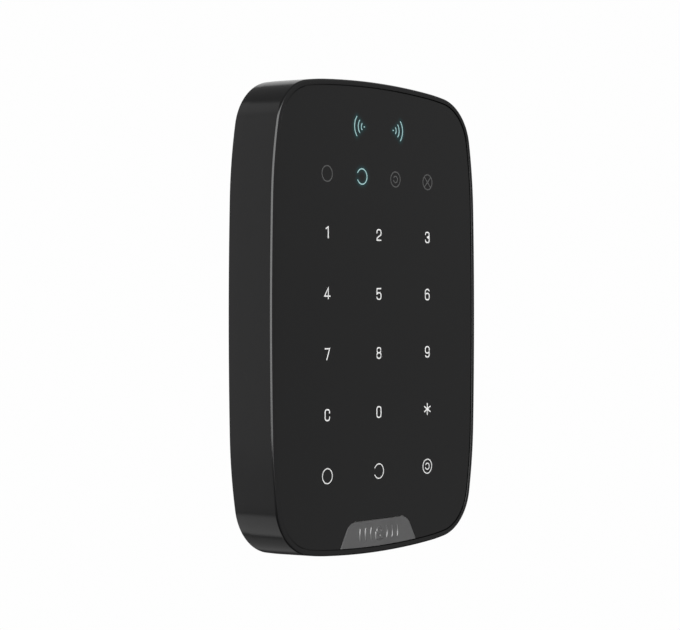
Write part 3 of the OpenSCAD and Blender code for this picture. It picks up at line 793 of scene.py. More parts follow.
class Shape:
    """A mesh under construction, in millimetres."""

    def __init__(self) -> None:
        """Start with an empty mesh."""
        self.bm = bmesh.new()

    def ring(self, points: Iterable[Point], y: float) -> list[bmesh.types.BMVert]:
        """Add the vertices of an XZ outline.

        Args:
            points: The outline.
            y: Its depth.

        Returns:
            The vertices.
        """
        return [self.bm.verts.new((x, y, z)) for x, z in points]

    def bridge(self, first: Sequence, second: Sequence, closed: bool = True) -> None:
        """Join two rings of equal length with quads.

        Args:
            first: One ring's vertices.
            second: The other ring's vertices.
            closed: Whether the last vertex joins the first.
        """
        count = len(first)
        for i in range(count if closed else count - 1):
            j = (i + 1) % count
            self.bm.faces.new((first[i], first[j], second[j], second[i]))

    def sweep(self, rings: Sequence[tuple[Sequence[Point], float]], looped: bool = False) -> list:
        """Join a series of rings into a skin.

        Args:
            rings: Outline and depth of each ring.
            looped: Whether the last ring joins the first.

        Returns:
            The rings' vertices.
        """
        made = [self.ring(points, y) for points, y in rings]
        for first, second in zip(made, made[1:]):
            self.bridge(first, second)
        if looped:
            self.bridge(made[-1], made[0])
        return made

    def slab(self, points: Sequence[Point], front: float, back: float, edge: float,
             hole: Sequence[Point] | None = None, rise: float | None = None) -> None:
        """Add a flat piece whose front edge is rounded over or sloped.

        Args:
            points: The outline, counter-clockwise.
            front: Depth of the front face, which looks to -Y.
            back: Depth of the back face.
            edge: Radius of the rounded edge, or how far in the slope reaches.
            hole: Outline of a hole with as many points as the piece's outline.
            rise: Height of the slope, for an edge that is sloped.
        """
        turns = [(0.0, rise), (edge, 0.0)] if rise else [
            (edge * (1 - math.cos(math.radians(a))), edge * (1 - math.sin(math.radians(a))))
            for a in (0, 30, 60, 90)]
        outer = self.sweep([(points, back), *((grown(points, -d), front + f) for d, f in turns)])
        if hole is None:
            self.bm.faces.new(outer[-1])
            self.bm.faces.new(outer[0])
            return
        inner = self.sweep([(hole, back), *((grown(hole, d), front + f) for d, f in turns)])
        self.bridge(outer[-1], inner[-1])
        self.bridge(outer[0], inner[0])

    def box(self, low: Sequence[float], high: Sequence[float], edge: float = 0.0) -> None:
        """Add a box with bevelled edges.

        Args:
            low: Lowest corner.
            high: Highest corner.
            edge: Width of the bevels.
        """
        low, high = Vector(low), Vector(high)
        place = Matrix.Translation((low + high) / 2) @ Matrix.Diagonal((*(high - low), 1.0))
        made = bmesh.ops.create_cube(self.bm, size=1.0, matrix=place)["verts"]
        if edge:
            edges = {e for v in made for e in v.link_edges}
            bmesh.ops.bevel(self.bm, geom=list(edges), offset=edge, segments=2, profile=0.5,
                            affect="EDGES")

    def tube(self, centre: Point, radius: float, bore: float, front: float, back: float) -> None:
        """Add a round boss along Y with a blind bore from the back.

        Args:
            centre: Its axis in X and Z.
            radius: Outer radius.
            bore: Radius of the bore.
            front: Depth of the closed end.
            back: Depth of the open end.
        """
        sides, rim, closed_end = 40, 0.25, 1.5
        outer, pilot = circle(centre, radius, sides), circle(centre, bore, sides)
        skin = self.sweep([(outer, front), (outer, back - rim), (grown(outer, -rim), back),
                           (grown(pilot, rim), back), (pilot, back - rim),
                           (pilot, front + closed_end)])
        self.bm.faces.new(skin[0])
        self.bm.faces.new(skin[-1])

    def stroke(self, path: Sequence[Point], width: float, front: float, back: float,
               closed: bool = False) -> None:
        """Add a ribbon of even width along a path, with round ends.

        Args:
            path: The centre line.
            width: The ribbon's width.
            front: Depth of its front face.
            back: Depth of its back face.
            closed: Whether the path is a loop.
        """
        half = width / 2
        if closed:
            outer, inner = grown(path, half), grown(path, -half)
            rings = [self.ring(points, y) for y in (front, back) for points in (outer, inner)]
            for a, b in ((0, 1), (2, 3), (0, 2), (1, 3)):
                self.bridge(rings[a], rings[b])
            return
        there = grown([*path, *path[-2:0:-1]], half)
        first, last = (Vector(path[1]) - Vector(path[0]), Vector(path[-1]) - Vector(path[-2]))
        right = there[1:len(path) - 1]
        left = there[len(path):]
        tail = math.degrees(math.atan2(first.y, first.x))
        nose = math.degrees(math.atan2(last.y, last.x))
        outline = (arc(path[0], half, tail + 90, tail + 270, 8) + right
                   + arc(path[-1], half, nose - 90, nose + 90, 8) + left)
        skin = self.sweep([(outline, front), (outline, back)])
        self.bm.faces.new(skin[0])
        self.bm.faces.new(skin[1])

    def mesh(self, name: str, solid: bool = True) -> bpy.types.Mesh:
        """Turn the shape into a mesh in metres, which uses the shape up.

        Args:
            name: The mesh's name.
            solid: Whether the shape is closed, so that its faces can be turned outwards.

        Returns:
            The mesh.
        """
        if solid:
            bmesh.ops.recalc_face_normals(self.bm, faces=self.bm.faces)
        bmesh.ops.scale(self.bm, vec=(MM, MM, MM), verts=self.bm.verts)
        mesh = bpy.data.meshes.new(name)
        self.bm.to_mesh(mesh)
        self.bm.free()
        return mesh

    def build(self, name: str, finish: bpy.types.Material, slot: str,
              sharp: float = 40.0, solid: bool = True) -> bpy.types.Object:
        """Turn the shape into an object in metres that rides on the keypad.

        Args:
            name: The object's name.
            finish: Its material.
            slot: The record's material slot; not used.
            sharp: Edges that bend more than this many degrees stay crisp.
            solid: Whether the shape is closed, so that its faces can be turned outwards.

        Returns:
            The object.
        """
        for face in self.bm.faces:
            face.smooth = True
        mesh = self.mesh(name, solid)
        mesh.set_sharp_from_angle(angle=math.radians(sharp))
        mesh.materials.append(finish)
        piece = add_object(name, mesh)
        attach(piece, KEYPAD)
        LOG.info("built %s with %d faces", name, len(mesh.polygons))
        return piece


def even_normals(piece: bpy.types.Object) -> None:
    """Keep a piece's flat faces flat in the light, next to its rounded edges."""
    piece.modifiers.new("even_normals", "WEIGHTED_NORMAL").keep_sharp = True


def carve(piece: bpy.types.Object, cutter: Shape) -> None:
    """Cut a shape out of a piece for good.

    Args:
        piece: The piece that is cut.
        cutter: The shape that is taken away.
    """
    tool = add_object("cutter", cutter.mesh("cutter"))
    step = piece.modifiers.new("cut", "BOOLEAN")
    step.object, step.operation, step.solver, step.use_self = tool, "DIFFERENCE", "EXACT", True
    shown = piece.evaluated_get(bpy.context.evaluated_depsgraph_get())
    cut = bpy.data.meshes.new_from_object(shown)
    piece.modifiers.clear()
    piece.data = cut
    bpy.data.objects.remove(tool)


class Workshop:
    """What the sub-assemblies share: the outline, the finishes' materials and the node groups."""

    def __init__(self, outline: Outline) -> None:
        """Build the shared groups.

        Args:
            outline: The housing's outline.
        """
        self.outline = outline
        self.groups = SharedGroups()
        self._made: dict[str, bpy.types.Material] = {}

    def material(self, finish: Finish) -> bpy.types.Material:
        """The material of a finish, built the first time it is asked for.

        Args:
            finish: The finish.

        Returns:
            Its material.
        """
        if finish.name not in self._made:
            self._made[finish.name] = finish.build(self.groups)
        return self._made[finish.name]


@dataclass
class Housing:
    """The front housing: a swept shell with its screw bosses and the block for the lock screw.

    Sizes named _front, _back or _y are places along Y, and those named _top are places along Z.
    boss_angle is in degrees; the others are lengths.
    """

    shop: Workshop
    finish: Finish
    rim_y: float = -20.0
    rear_y: float = -1.2
    draft: float = 0.5
    straight: float = 4.0
    edge_r: float = 0.9
    rim_w: float = 2.4
    wall: float = 2.0
    ledge_y: float = -18.3
    ledge_back: float = -16.7
    aperture: float = 5.5
    boss_r: float = 3.0
    bore_r: float = 1.25
    boss_inset: float = 6.2
    boss_angle: float = 25.0
    boss_front: float = -16.8
    boss_back: float = -3.9
    pocket_half_w: float = 6.8
    pocket_front: float = -7.6
    pocket_top: float = -78.9
    block_half_w: float = 8.5
    block_front: float = -9.5
    block_back: float = -2.5
    roof: float = 2.0
    block_edge: float = 0.3
    neck_half_w: float = 3.9
    neck_front: float = -8.7
    neck_back: float = -2.6
    neck_top: float = -71.4
    lock_y: float = -4.8
    lock_bore_r: float = 2.13
    lock_bore_top: float = -72.4
    past: float = 1.0

    def profile(self) -> list[Point]:
        """Inset and depth of each ring of the shell, from the rear edge over the front and back.

        Returns:
            The profile's points.
        """
        soft = 0.08
        fillet = [(self.draft + self.edge_r - self.edge_r * math.cos(math.radians(a)),
                   self.rim_y + self.edge_r - self.edge_r * math.sin(math.radians(a)))
                  for a in range(0, 91, 9)]
        lean = self.draft / (self.rear_y - self.straight - self.rim_y - self.edge_r)
        lip = [(self.rim_w - soft + soft * math.sin(math.radians(a)),
                self.rim_y + soft - soft * math.cos(math.radians(a))) for a in (0, 30, 60, 90)]
        return [(0.0, self.rear_y - 0.3), (0.0, self.rear_y - self.straight + 0.3),
                (lean * 0.3, self.rear_y - self.straight - 0.3),
                (self.draft - lean * 0.2, self.rim_y + self.edge_r + 0.2), *fillet,
                *lip, (self.rim_w, self.rim_y + 0.3),
                (self.rim_w, self.ledge_y), (self.aperture - soft, self.ledge_y),
                (self.aperture, self.ledge_y + soft), (self.aperture, self.ledge_back),
                (self.wall, self.ledge_back), (self.wall, self.rear_y - soft),
                (self.wall - soft, self.rear_y), (soft, self.rear_y), (0.0, self.rear_y - soft)]

    def build(self) -> None:
        """Build the shell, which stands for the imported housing, its bosses and its lock block."""
        shell = Shape()
        shell.sweep([(self.shop.outline.ring(inset), y) for inset, y in self.profile()],
                    looped=True)
        body = shell.build("housing_shell", self.shop.material(self.finish), "housing_plastic")
        carve(body, self._pocket(-self.shop.outline.half_h - self.past))
        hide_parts("front_housing")
        self._bosses()
        self._lock_block()

    def _pocket(self, low: float) -> Shape:
        """The room for the lock screw's head, as a shape that cuts.

        Args:
            low: How far down the cut reaches.

        Returns:
            The shape.
        """
        room = Shape()
        room.box((-self.pocket_half_w, self.pocket_front, low),
                 (self.pocket_half_w, self.past, self.pocket_top))
        return room

    def _bosses(self) -> None:
        """Build the four screw bosses in the corners."""
        bosses = Shape()
        x, z = self.shop.outline.corner(self.boss_inset, self.boss_angle)
        for side in (-1, 1):
            for end in (-1, 1):
                bosses.tube((side * x, end * z), self.boss_r, self.bore_r, self.boss_front,
                            self.boss_back)
        bosses.build("housing_bosses", self.shop.material(self.finish), "housing_plastic")

    def _lock_block(self) -> None:
        """Build the block above the pocket, with the bore for the lock screw's insert."""
        low = -self.shop.outline.half_h + self.wall - self.block_edge
        block = Shape()
        block.box((-self.block_half_w, self.block_front, low),
                  (self.block_half_w, self.block_back, self.pocket_top + self.roof),
                  self.block_edge)
        block.box((-self.neck_half_w, self.neck_front, self.pocket_top + self.roof / 2),
                  (self.neck_half_w, self.neck_back, self.neck_top), self.block_edge)
        lock = block.build("housing_lock_block", self.shop.material(self.finish),
                           "housing_plastic")
        room = self._pocket(low - self.past)
        section = circle((0.0, self.lock_y), self.lock_bore_r, 32)
        ends = [[room.bm.verts.new((x, y, z)) for x, y in section]
                for z in (self.pocket_top - self.past / 2, self.lock_bore_top)]
        room.bridge(*ends)
        for end in ends:
            room.bm.faces.new(end)
        carve(lock, room)


@dataclass
class Badge:
    """The grey badge at the foot of the panel, with a raised padlock between radio waves.

    The sizes from lock_half_w on are taken from the emblem's own middle, which is at emblem_z.
    """

    shop: Workshop
    finish: Finish
    emblem_finish: Finish
    top_z: float = -70.6
    half_top: float = 12.6
    corner_r: float = 5.5
    lean: float = 30.0
    front_y: float = -19.75
    back_y: float = -18.45
    inset: float = 2.7
    emblem_z: float = -75.2
    emblem_t: float = 0.2
    line_w: float = 0.8
    slope_w: float = 0.35
    face_edge: float = 0.12
    sunk: float = 0.05
    lock_half_w: float = 1.7
    lock_low: float = -2.0
    lock_high: float = 0.2
    lock_corner_r: float = 0.5
    keyhole_r: float = 0.3
    keyhole_z: float = -0.9
    shackle_r: float = 1.2
    shackle_low: float = 0.1
    shackle_z: float = 0.6
    wave_radii: tuple[float, ...] = (4.6, 7.5, 10.4)
    wave_half_h: float = 2.2

    def side(self, grow: float) -> list[Point]:
        """The badge's right-hand boundary, from its foot on the outline up to the flat top.

        Args:
            grow: How far the boundary is moved outwards.

        Returns:
            The points.
        """
        centre = (self.half_top, self.top_z - self.corner_r)
        upper = arc(centre, self.corner_r + grow, self.lean, 90, 16)
        start = Vector(upper[0])
        slope = math.tan(math.radians(self.lean))
        path = [p for p in self.shop.outline.ring(self.inset) if p[0] >= 0 and p[1] < self.top_z]
        crossing = [self._meet(start, slope, a, b) for a, b in zip(path, path[1:])]
        foot = next(p for p in crossing if p is not None)
        return [foot, *upper]

    @staticmethod
    def _meet(start: Vector, slope: float, a: Point, b: Point) -> Point | None:
        """Where the leaning side crosses one chord of the outline.

        Args:
            start: A point on the side.
            slope: Run of the side for each unit of drop.
            a: One end of the chord.
            b: The other end.

        Returns:
            The crossing, or None.
        """
        gap = [p[0] - (start.x + (start.y - p[1]) * slope) for p in (a, b)]
        if gap[0] * gap[1] > 0:
            return None
        share = gap[0] / (gap[0] - gap[1])
        return a[0] + (b[0] - a[0]) * share, a[1] + (b[1] - a[1]) * share

    def outline(self) -> list[Point]:
        """The badge's own outline, counter-clockwise.

        Returns:
            The points.
        """
        right = self.side(0.0)
        foot_x = right[0][0]
        base = [p for p in self.shop.outline.ring(self.inset)
                if abs(p[0]) < foot_x - 0.05 and p[1] < self.top_z]
        return [*sorted(base), *right, *((-x, z) for x, z in right[::-1])]

    def panel_outline(self, gap: float) -> list[Point]:
        """The touch panel's outline with the notch that the badge fills.

        Args:
            gap: Clearance between the panel and the badge.

        Returns:
            The points, counter-clockwise.
        """
        right = self.side(gap)
        foot_x = right[0][0]
        ring = [p for p in self.shop.outline.ring(self.inset)
                if not (abs(p[0]) < foot_x + 0.05 and p[1] < self.top_z)]
        split = next(i for i, p in enumerate(ring)
                     if p[0] > 0 and ring[i - 1][0] < 0 and p[1] < 0)
        notch = [(-x, z) for x, z in right] + right[::-1]
        return ring[split:] + ring[:split] + notch

    def build(self) -> None:
        """Build the badge and its emblem."""
        face = Shape()
        face.slab(self.outline(), self.front_y, self.back_y, self.face_edge)
        plate = face.build("badge_face", self.shop.material(self.finish), "badge_grey")
        even_normals(plate)
        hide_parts("badge")

        mark = Shape()
        half_w, low, high = self.lock_half_w, self.lock_low, self.lock_high
        body = [polar(self.lock_corner_r, a, corner) for corner, first in
                (((half_w, low), 270), ((half_w, high), 0), ((-half_w, high), 90),
                 ((-half_w, low), 180))
                for a in range(first, first + 91, 15)]
        turn = 360 / len(body)
        keyhole = [polar(self.keyhole_r, 270 + turn * (i + 0.5), (0.0, self.keyhole_z))
                   for i in range(len(body))]
        self._relief(mark, body, keyhole)
        for side in (0, 180):
            for radius in self.wave_radii:
                reach = math.degrees(math.asin(self.wave_half_h / radius))
                self._bar(mark, arc((0.0, 0.0), radius, side - reach, side + reach, 6))
        bow = arc((0.0, self.shackle_z), self.shackle_r, 0, 180, 20)
        self._bar(mark, [(self.shackle_r, self.shackle_low), *bow,
                         (-self.shackle_r, self.shackle_low)])
        mark.build("badge_emblem", self.shop.material(self.emblem_finish), "badge_grey",
                   sharp=20.0)

    def _relief(self, mark: Shape, points: Sequence[Point],
                hole: Sequence[Point] | None = None) -> None:
        """Add one sloped piece of the emblem at its place on the badge.

        Args:
            mark: The emblem's shape.
            points: The piece's outline about the emblem's middle.
            hole: Outline of a hole in it.
        """
        moved = [[(x, z + self.emblem_z) for x, z in path] for path in (points, hole or ())]
        mark.slab(moved[0], self.front_y - self.emblem_t, self.front_y + self.sunk, self.slope_w,
                  moved[1] or None, self.emblem_t)

    def _bar(self, mark: Shape, path: Sequence[Point]) -> None:
        """Add one square-ended bar of the emblem.

        Args:
            mark: The emblem's shape.
            path: Centre line of the bar.
        """
        half = self.line_w / 2
        doubled = grown([*path, *path[-2:0:-1]], half)
        ends = []
        for tip, inner in ((path[0], path[1]), (path[-1], path[-2])):
            run = (Vector(tip) - Vector(inner)).normalized() * half
            ends.append([(tip[0] + run.y, tip[1] - run.x), (tip[0] - run.y, tip[1] + run.x)])
        count = len(path)
        self._relief(mark, [*ends[0], *doubled[1:count - 1], *ends[1], *doubled[count:]])


@dataclass
class TouchPanel:
    """The black touch panel, with a softened front edge and a notch for the badge."""

    shop: Workshop
    finish: Finish
    badge: Badge
    front_y: float = -19.65
    back_y: float = -18.45
    badge_gap: float = 0.2
    edge: float = 0.05

    def build(self) -> None:
        """Build the panel."""
        shape = Shape()
        shape.slab(self.badge.panel_outline(self.badge_gap), self.front_y, self.back_y, self.edge)
        panel = shape.build("panel_face", self.shop.material(self.finish), "panel_glass_black")
        even_normals(panel)
        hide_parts("touch_panel")


class Glyph:
    """Stroke paths of one legend, about its own centre."""

    HALF_W = 1.14
    HALF_H = 1.85

    def __init__(self, *strokes: Sequence[Point], loops: Sequence[Sequence[Point]] = ()) -> None:
        """Keep the strokes.

        Args:
            strokes: Open paths.
            loops: Closed paths.
        """
        self.strokes = [list(s) for s in strokes]
        self.loops = [list(s) for s in loops]

    def turned(self) -> "Glyph":
        """The glyph turned by half a turn."""
        return Glyph(*([(-x, -z) for x, z in s] for s in self.strokes),
                     loops=[[(-x, -z) for x, z in s] for s in self.loops])

    @staticmethod
    def ring(radius: float) -> list[Point]:
        """A circle as a loop."""
        return circle((0.0, 0.0), radius, 64)

    @staticmethod
    def bowl(centre: Point, radius: float, start: float, end: float,
             steps: int = 24) -> list[Point]:
        """Part of a squarish oval, for the bowls of the characters.

        Args:
            centre: Its centre.
            radius: Half its width.
            start: Angle of the first point.
            end: Angle of the last point.
            steps: Number of chords.

        Returns:
            The points.
        """
        squareness = 0.74
        return [tuple(c + radius * math.copysign(abs(part) ** squareness, part)
                      for c, part in zip(centre, point))
                for point in arc((0.0, 0.0), 1.0, start, end, steps)]

    @classmethod
    def stadium(cls, half_w: float, low: float, high: float) -> list[Point]:
        """An upright loop with squarish ends.

        Args:
            half_w: Half its width.
            low: Its lowest point.
            high: Its highest point.

        Returns:
            The loop.
        """
        r = half_w
        return cls.bowl((0.0, high - r), r, 0, 180) + cls.bowl((0.0, low + r), r, 180, 360)

    @classmethod
    def characters(cls) -> dict[str, "Glyph"]:
        """The keys' characters.

        Returns:
            Each character's glyph.
        """
        w, h = cls.HALF_W, cls.HALF_H
        bowl, level = cls.bowl, h - w
        top, foot = (0.0, level), (0.0, -level)
        six = cls([*bowl(top, w, 28, 180), *bowl(foot, w, 180, 450, 40),
                   *bowl(foot, w, 90, 172, 10)[1:]])
        return {
            "1": cls([(-0.72, h - 0.62), (0.44, h), (0.44, -h)]),
            "2": cls([(-w, level - 0.05), *bowl(top, w, 178, -32), (-w + 0.16, -h + 0.72),
                      (-w + 0.03, -h + 0.3), (-w + 0.03, -h), (w, -h)]),
            "3": cls([*bowl((0.0, level + 0.04), w - 0.06, 172, -66), (-0.05, 0.03)],
                     [(-0.05, 0.03), *bowl((0.0, -level), w, 66, -172)]),
            "4": cls([(0.5, -h), (0.5, h), (-1.42, -0.98), (1.42, -0.98)]),
            "5": cls([(w - 0.1, h), (-w + 0.06, h), (-w + 0.06, 0.02),
                      *bowl((0.02, -level - 0.02), w, 118, -165, 36)]),
            "6": six,
            "7": cls([(-w, h - 0.05), (-w, h), (w, h), (-0.28, -h)]),
            "8": cls(loops=[cls.stadium(w - 0.12, 0.06, h), cls.stadium(w, -h, 0.06)]),
            "9": six.turned(),
            "0": cls(loops=[cls.stadium(w, -h, h)]),
            "C": cls([*bowl(top, w, 0, 180), *bowl(foot, w, 180, 360)]),
            "*": cls([(0.0, -1.95), (0.0, 1.95)], [(-1.68, -0.95), (1.68, 0.95)],
                     [(-1.68, 0.95), (1.68, -0.95)]),
        }

    @classmethod
    def icons(cls, radius: float) -> dict[str, "Glyph"]:
        """The round icons of the modes.

        Args:
            radius: Radius of the outer ring.

        Returns:
            Each icon's glyph.
        """
        reach = radius * 0.68
        return {
            "away": cls(loops=[cls.ring(radius)]),
            "off": cls(arc((0.0, 0.0), radius, -151, 151, 56)),
            "night": cls(arc((0.0, 0.0), 1.12, -160, 145, 36), loops=[cls.ring(radius)]),
            "fault": cls([(-reach, -reach), (reach, reach)], [(-reach, reach), (reach, -reach)],
                         loops=[cls.ring(radius)]),
        }

    @classmethod
    def waves(cls, side: int) -> "Glyph":
        """Radio waves that spread to one side from a dot.

        Args:
            side: 1 for the right, -1 for the left.

        Returns:
            The glyph.
        """
        aim = 0 if side > 0 else 180
        dot = [(-0.14 * side, 0.0), (0.14 * side, 0.0)]
        return cls(dot, *(arc((0.0, 0.0), r, aim - 40, aim + 40, 24) for r in (1.6, 3.25, 5.2)))


@dataclass
class Legends:
    """The printed keys, the status icons and the card lights."""

    shop: Workshop
    key_finish: Finish
    icon_finish: Finish
    unlit_finish: Finish
    lit_finish: Finish
    halo_finish: Finish
    columns: tuple[float, ...] = (-27.5, 0.0, 27.5)
    rows: tuple[float, ...] = (28.85, 8.2, -12.45, -33.1, -53.75)
    keys: tuple[str, ...] = ("1", "2", "3", "4", "5", "6", "7", "8", "9", "C", "0", "*")
    status_xs: tuple[float, ...] = (-27.6, -9.2, 9.2, 27.6)
    status_z: float = 48.75
    wave_x: float = 8.0
    wave_z: float = 66.0
    face_y: float = -19.65
    proud: float = 0.02
    layer: float = 0.002
    sunk: float = 0.01
    stroke_w: float = 0.45
    icon_w: float = 0.39
    status_w: float = 0.40
    wave_w: float = 0.40
    key_icon_r: float = 2.54
    status_icon_r: float = 2.66
    halo_reach: float = 1.0
    halo_margin: float = 3.0
    halo_step: float = 0.25
    halo_proud: float = 0.006

    def draw(self, shape: Shape, glyph: Glyph, at: Point, width: float) -> list[Point]:
        """Add a glyph to a shape.

        Args:
            shape: The shape it goes in.
            glyph: The glyph.
            at: Its place on the panel.
            width: Width of its strokes.

        Returns:
            The points of the strokes' centre lines.
        """
        drawn = []
        paths = [(s, False) for s in glyph.strokes] + [(s, True) for s in glyph.loops]
        for i, (path, closed) in enumerate(paths):
            placed = [(x + at[0], z + at[1]) for x, z in path]
            front = self.face_y - self.proud - self.layer * i
            shape.stroke(placed, width, front, self.face_y + self.sunk, closed)
            drawn += placed
        return drawn

    def build(self) -> None:
        """Build every legend."""
        material = self.shop.material
        characters, icons = Glyph.characters(), Glyph.icons(self.key_icon_r)
        places = [(x, z) for z in self.rows for x in self.columns]
        digits = Shape()
        for text, at in zip(self.keys, places):
            self.draw(digits, characters[text], at, self.stroke_w)
        digits.build("key_legends", material(self.key_finish), "led_white")
        modes = Shape()
        for name, at in zip(("away", "off", "night"), places[len(self.keys):]):
            self.draw(modes, icons[name], at, self.icon_w)
        modes.build("mode_key_legends", material(self.icon_finish), "led_white")

        icons = Glyph.icons(self.status_icon_r)
        status = dict(zip(("away", "off", "night", "fault"), self.status_xs))
        unlit = Shape()
        for name in ("away", "night", "fault"):
            self.draw(unlit, icons[name], (status[name], self.status_z), self.status_w)
        unlit.build("status_icons_unlit", material(self.unlit_finish), "light_guide_white")
        lit = Shape()
        glowing = [self.draw(lit, icons["off"], (status["off"], self.status_z), self.icon_w)]
        for side in (-1, 1):
            at = (side * self.wave_x, self.wave_z)
            glowing.append(self.draw(lit, Glyph.waves(side), at, self.wave_w))
        lit.build("status_icons_lit", material(self.lit_finish), "led_cyan")
        self._halos(glowing)

    def _halos(self, glowing: Sequence[Sequence[Point]]) -> None:
        """Add fine patches around the lit icons that carry the strength of their glow.

        Args:
            glowing: Centre-line points of each lit icon.
        """
        step, margin = self.halo_step, self.halo_margin
        patch, weights = Shape(), []
        for points in glowing:
            xs, zs = [p[0] for p in points], [p[1] for p in points]
            x0, z0 = min(xs) - margin, min(zs) - margin
            cols = int((max(xs) + margin - x0) / step)
            rows = int((max(zs) + margin - z0) / step)
            grid = []
            for j in range(rows + 1):
                line = []
                for i in range(cols + 1):
                    x, z = x0 + i * step, z0 + j * step
                    near = min(math.hypot(x - px, z - pz) for px, pz in points)
                    weights.append(math.exp(-(near / self.halo_reach) ** 2))
                    line.append(patch.bm.verts.new((x, self.face_y - self.halo_proud, z)))
                grid.append(line)
            for low, high in zip(grid, grid[1:]):
                patch.bridge(low, high, closed=False)
        halo = patch.build("status_glow", self.shop.material(self.halo_finish),
                           "panel_glass_black", solid=False)
        glow = halo.data.attributes.new("glow", "FLOAT", "POINT")
        glow.data.foreach_set("value", weights)


class Softness(Enum):
    """How far a part's edges are rounded, in millimetres."""

    NONE = 0.0
    CRISP = 0.04
    FINE = 0.08
    SOFT = 0.15


@dataclass
class Dresser:
    """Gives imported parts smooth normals, softened edges and a finish, without moving a vertex."""

    shop: Workshop
    sharp_degrees: float = 34.0
    weld_mm: float = 0.002

    def dress(self, name: str, finish: Finish, softness: Softness) -> None:
        """Dress one part.

        Args:
            name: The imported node's name.
            finish: Its finish.
            softness: Rounding of its edges.
        """
        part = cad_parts[name]
        mesh = part.data
        mesh.materials.clear()
        mesh.materials.append(self.shop.material(finish))
        for stale in ("custom_normal", "sharp_edge"):
            if mesh.attributes.get(stale):
                mesh.attributes.remove(mesh.attributes[stale])
        mesh.polygons.foreach_set("use_smooth", [True] * len(mesh.polygons))
        part.modifiers.new("weld", "WELD").merge_threshold = self.weld_mm * MM
        if softness is not Softness.NONE:
            bevel = part.modifiers.new("soft_edges", "BEVEL")
            bevel.width = softness.value * MM
            bevel.segments = 2
            bevel.limit_method = "ANGLE"
            bevel.angle_limit = math.radians(self.sharp_degrees)
            bevel.harden_normals = False
        split = part.modifiers.new("crisp_edges", "EDGE_SPLIT")
        split.split_angle = math.radians(self.sharp_degrees)
        even_normals(part)
        LOG.info("dressed %s in %s", name, finish.name)


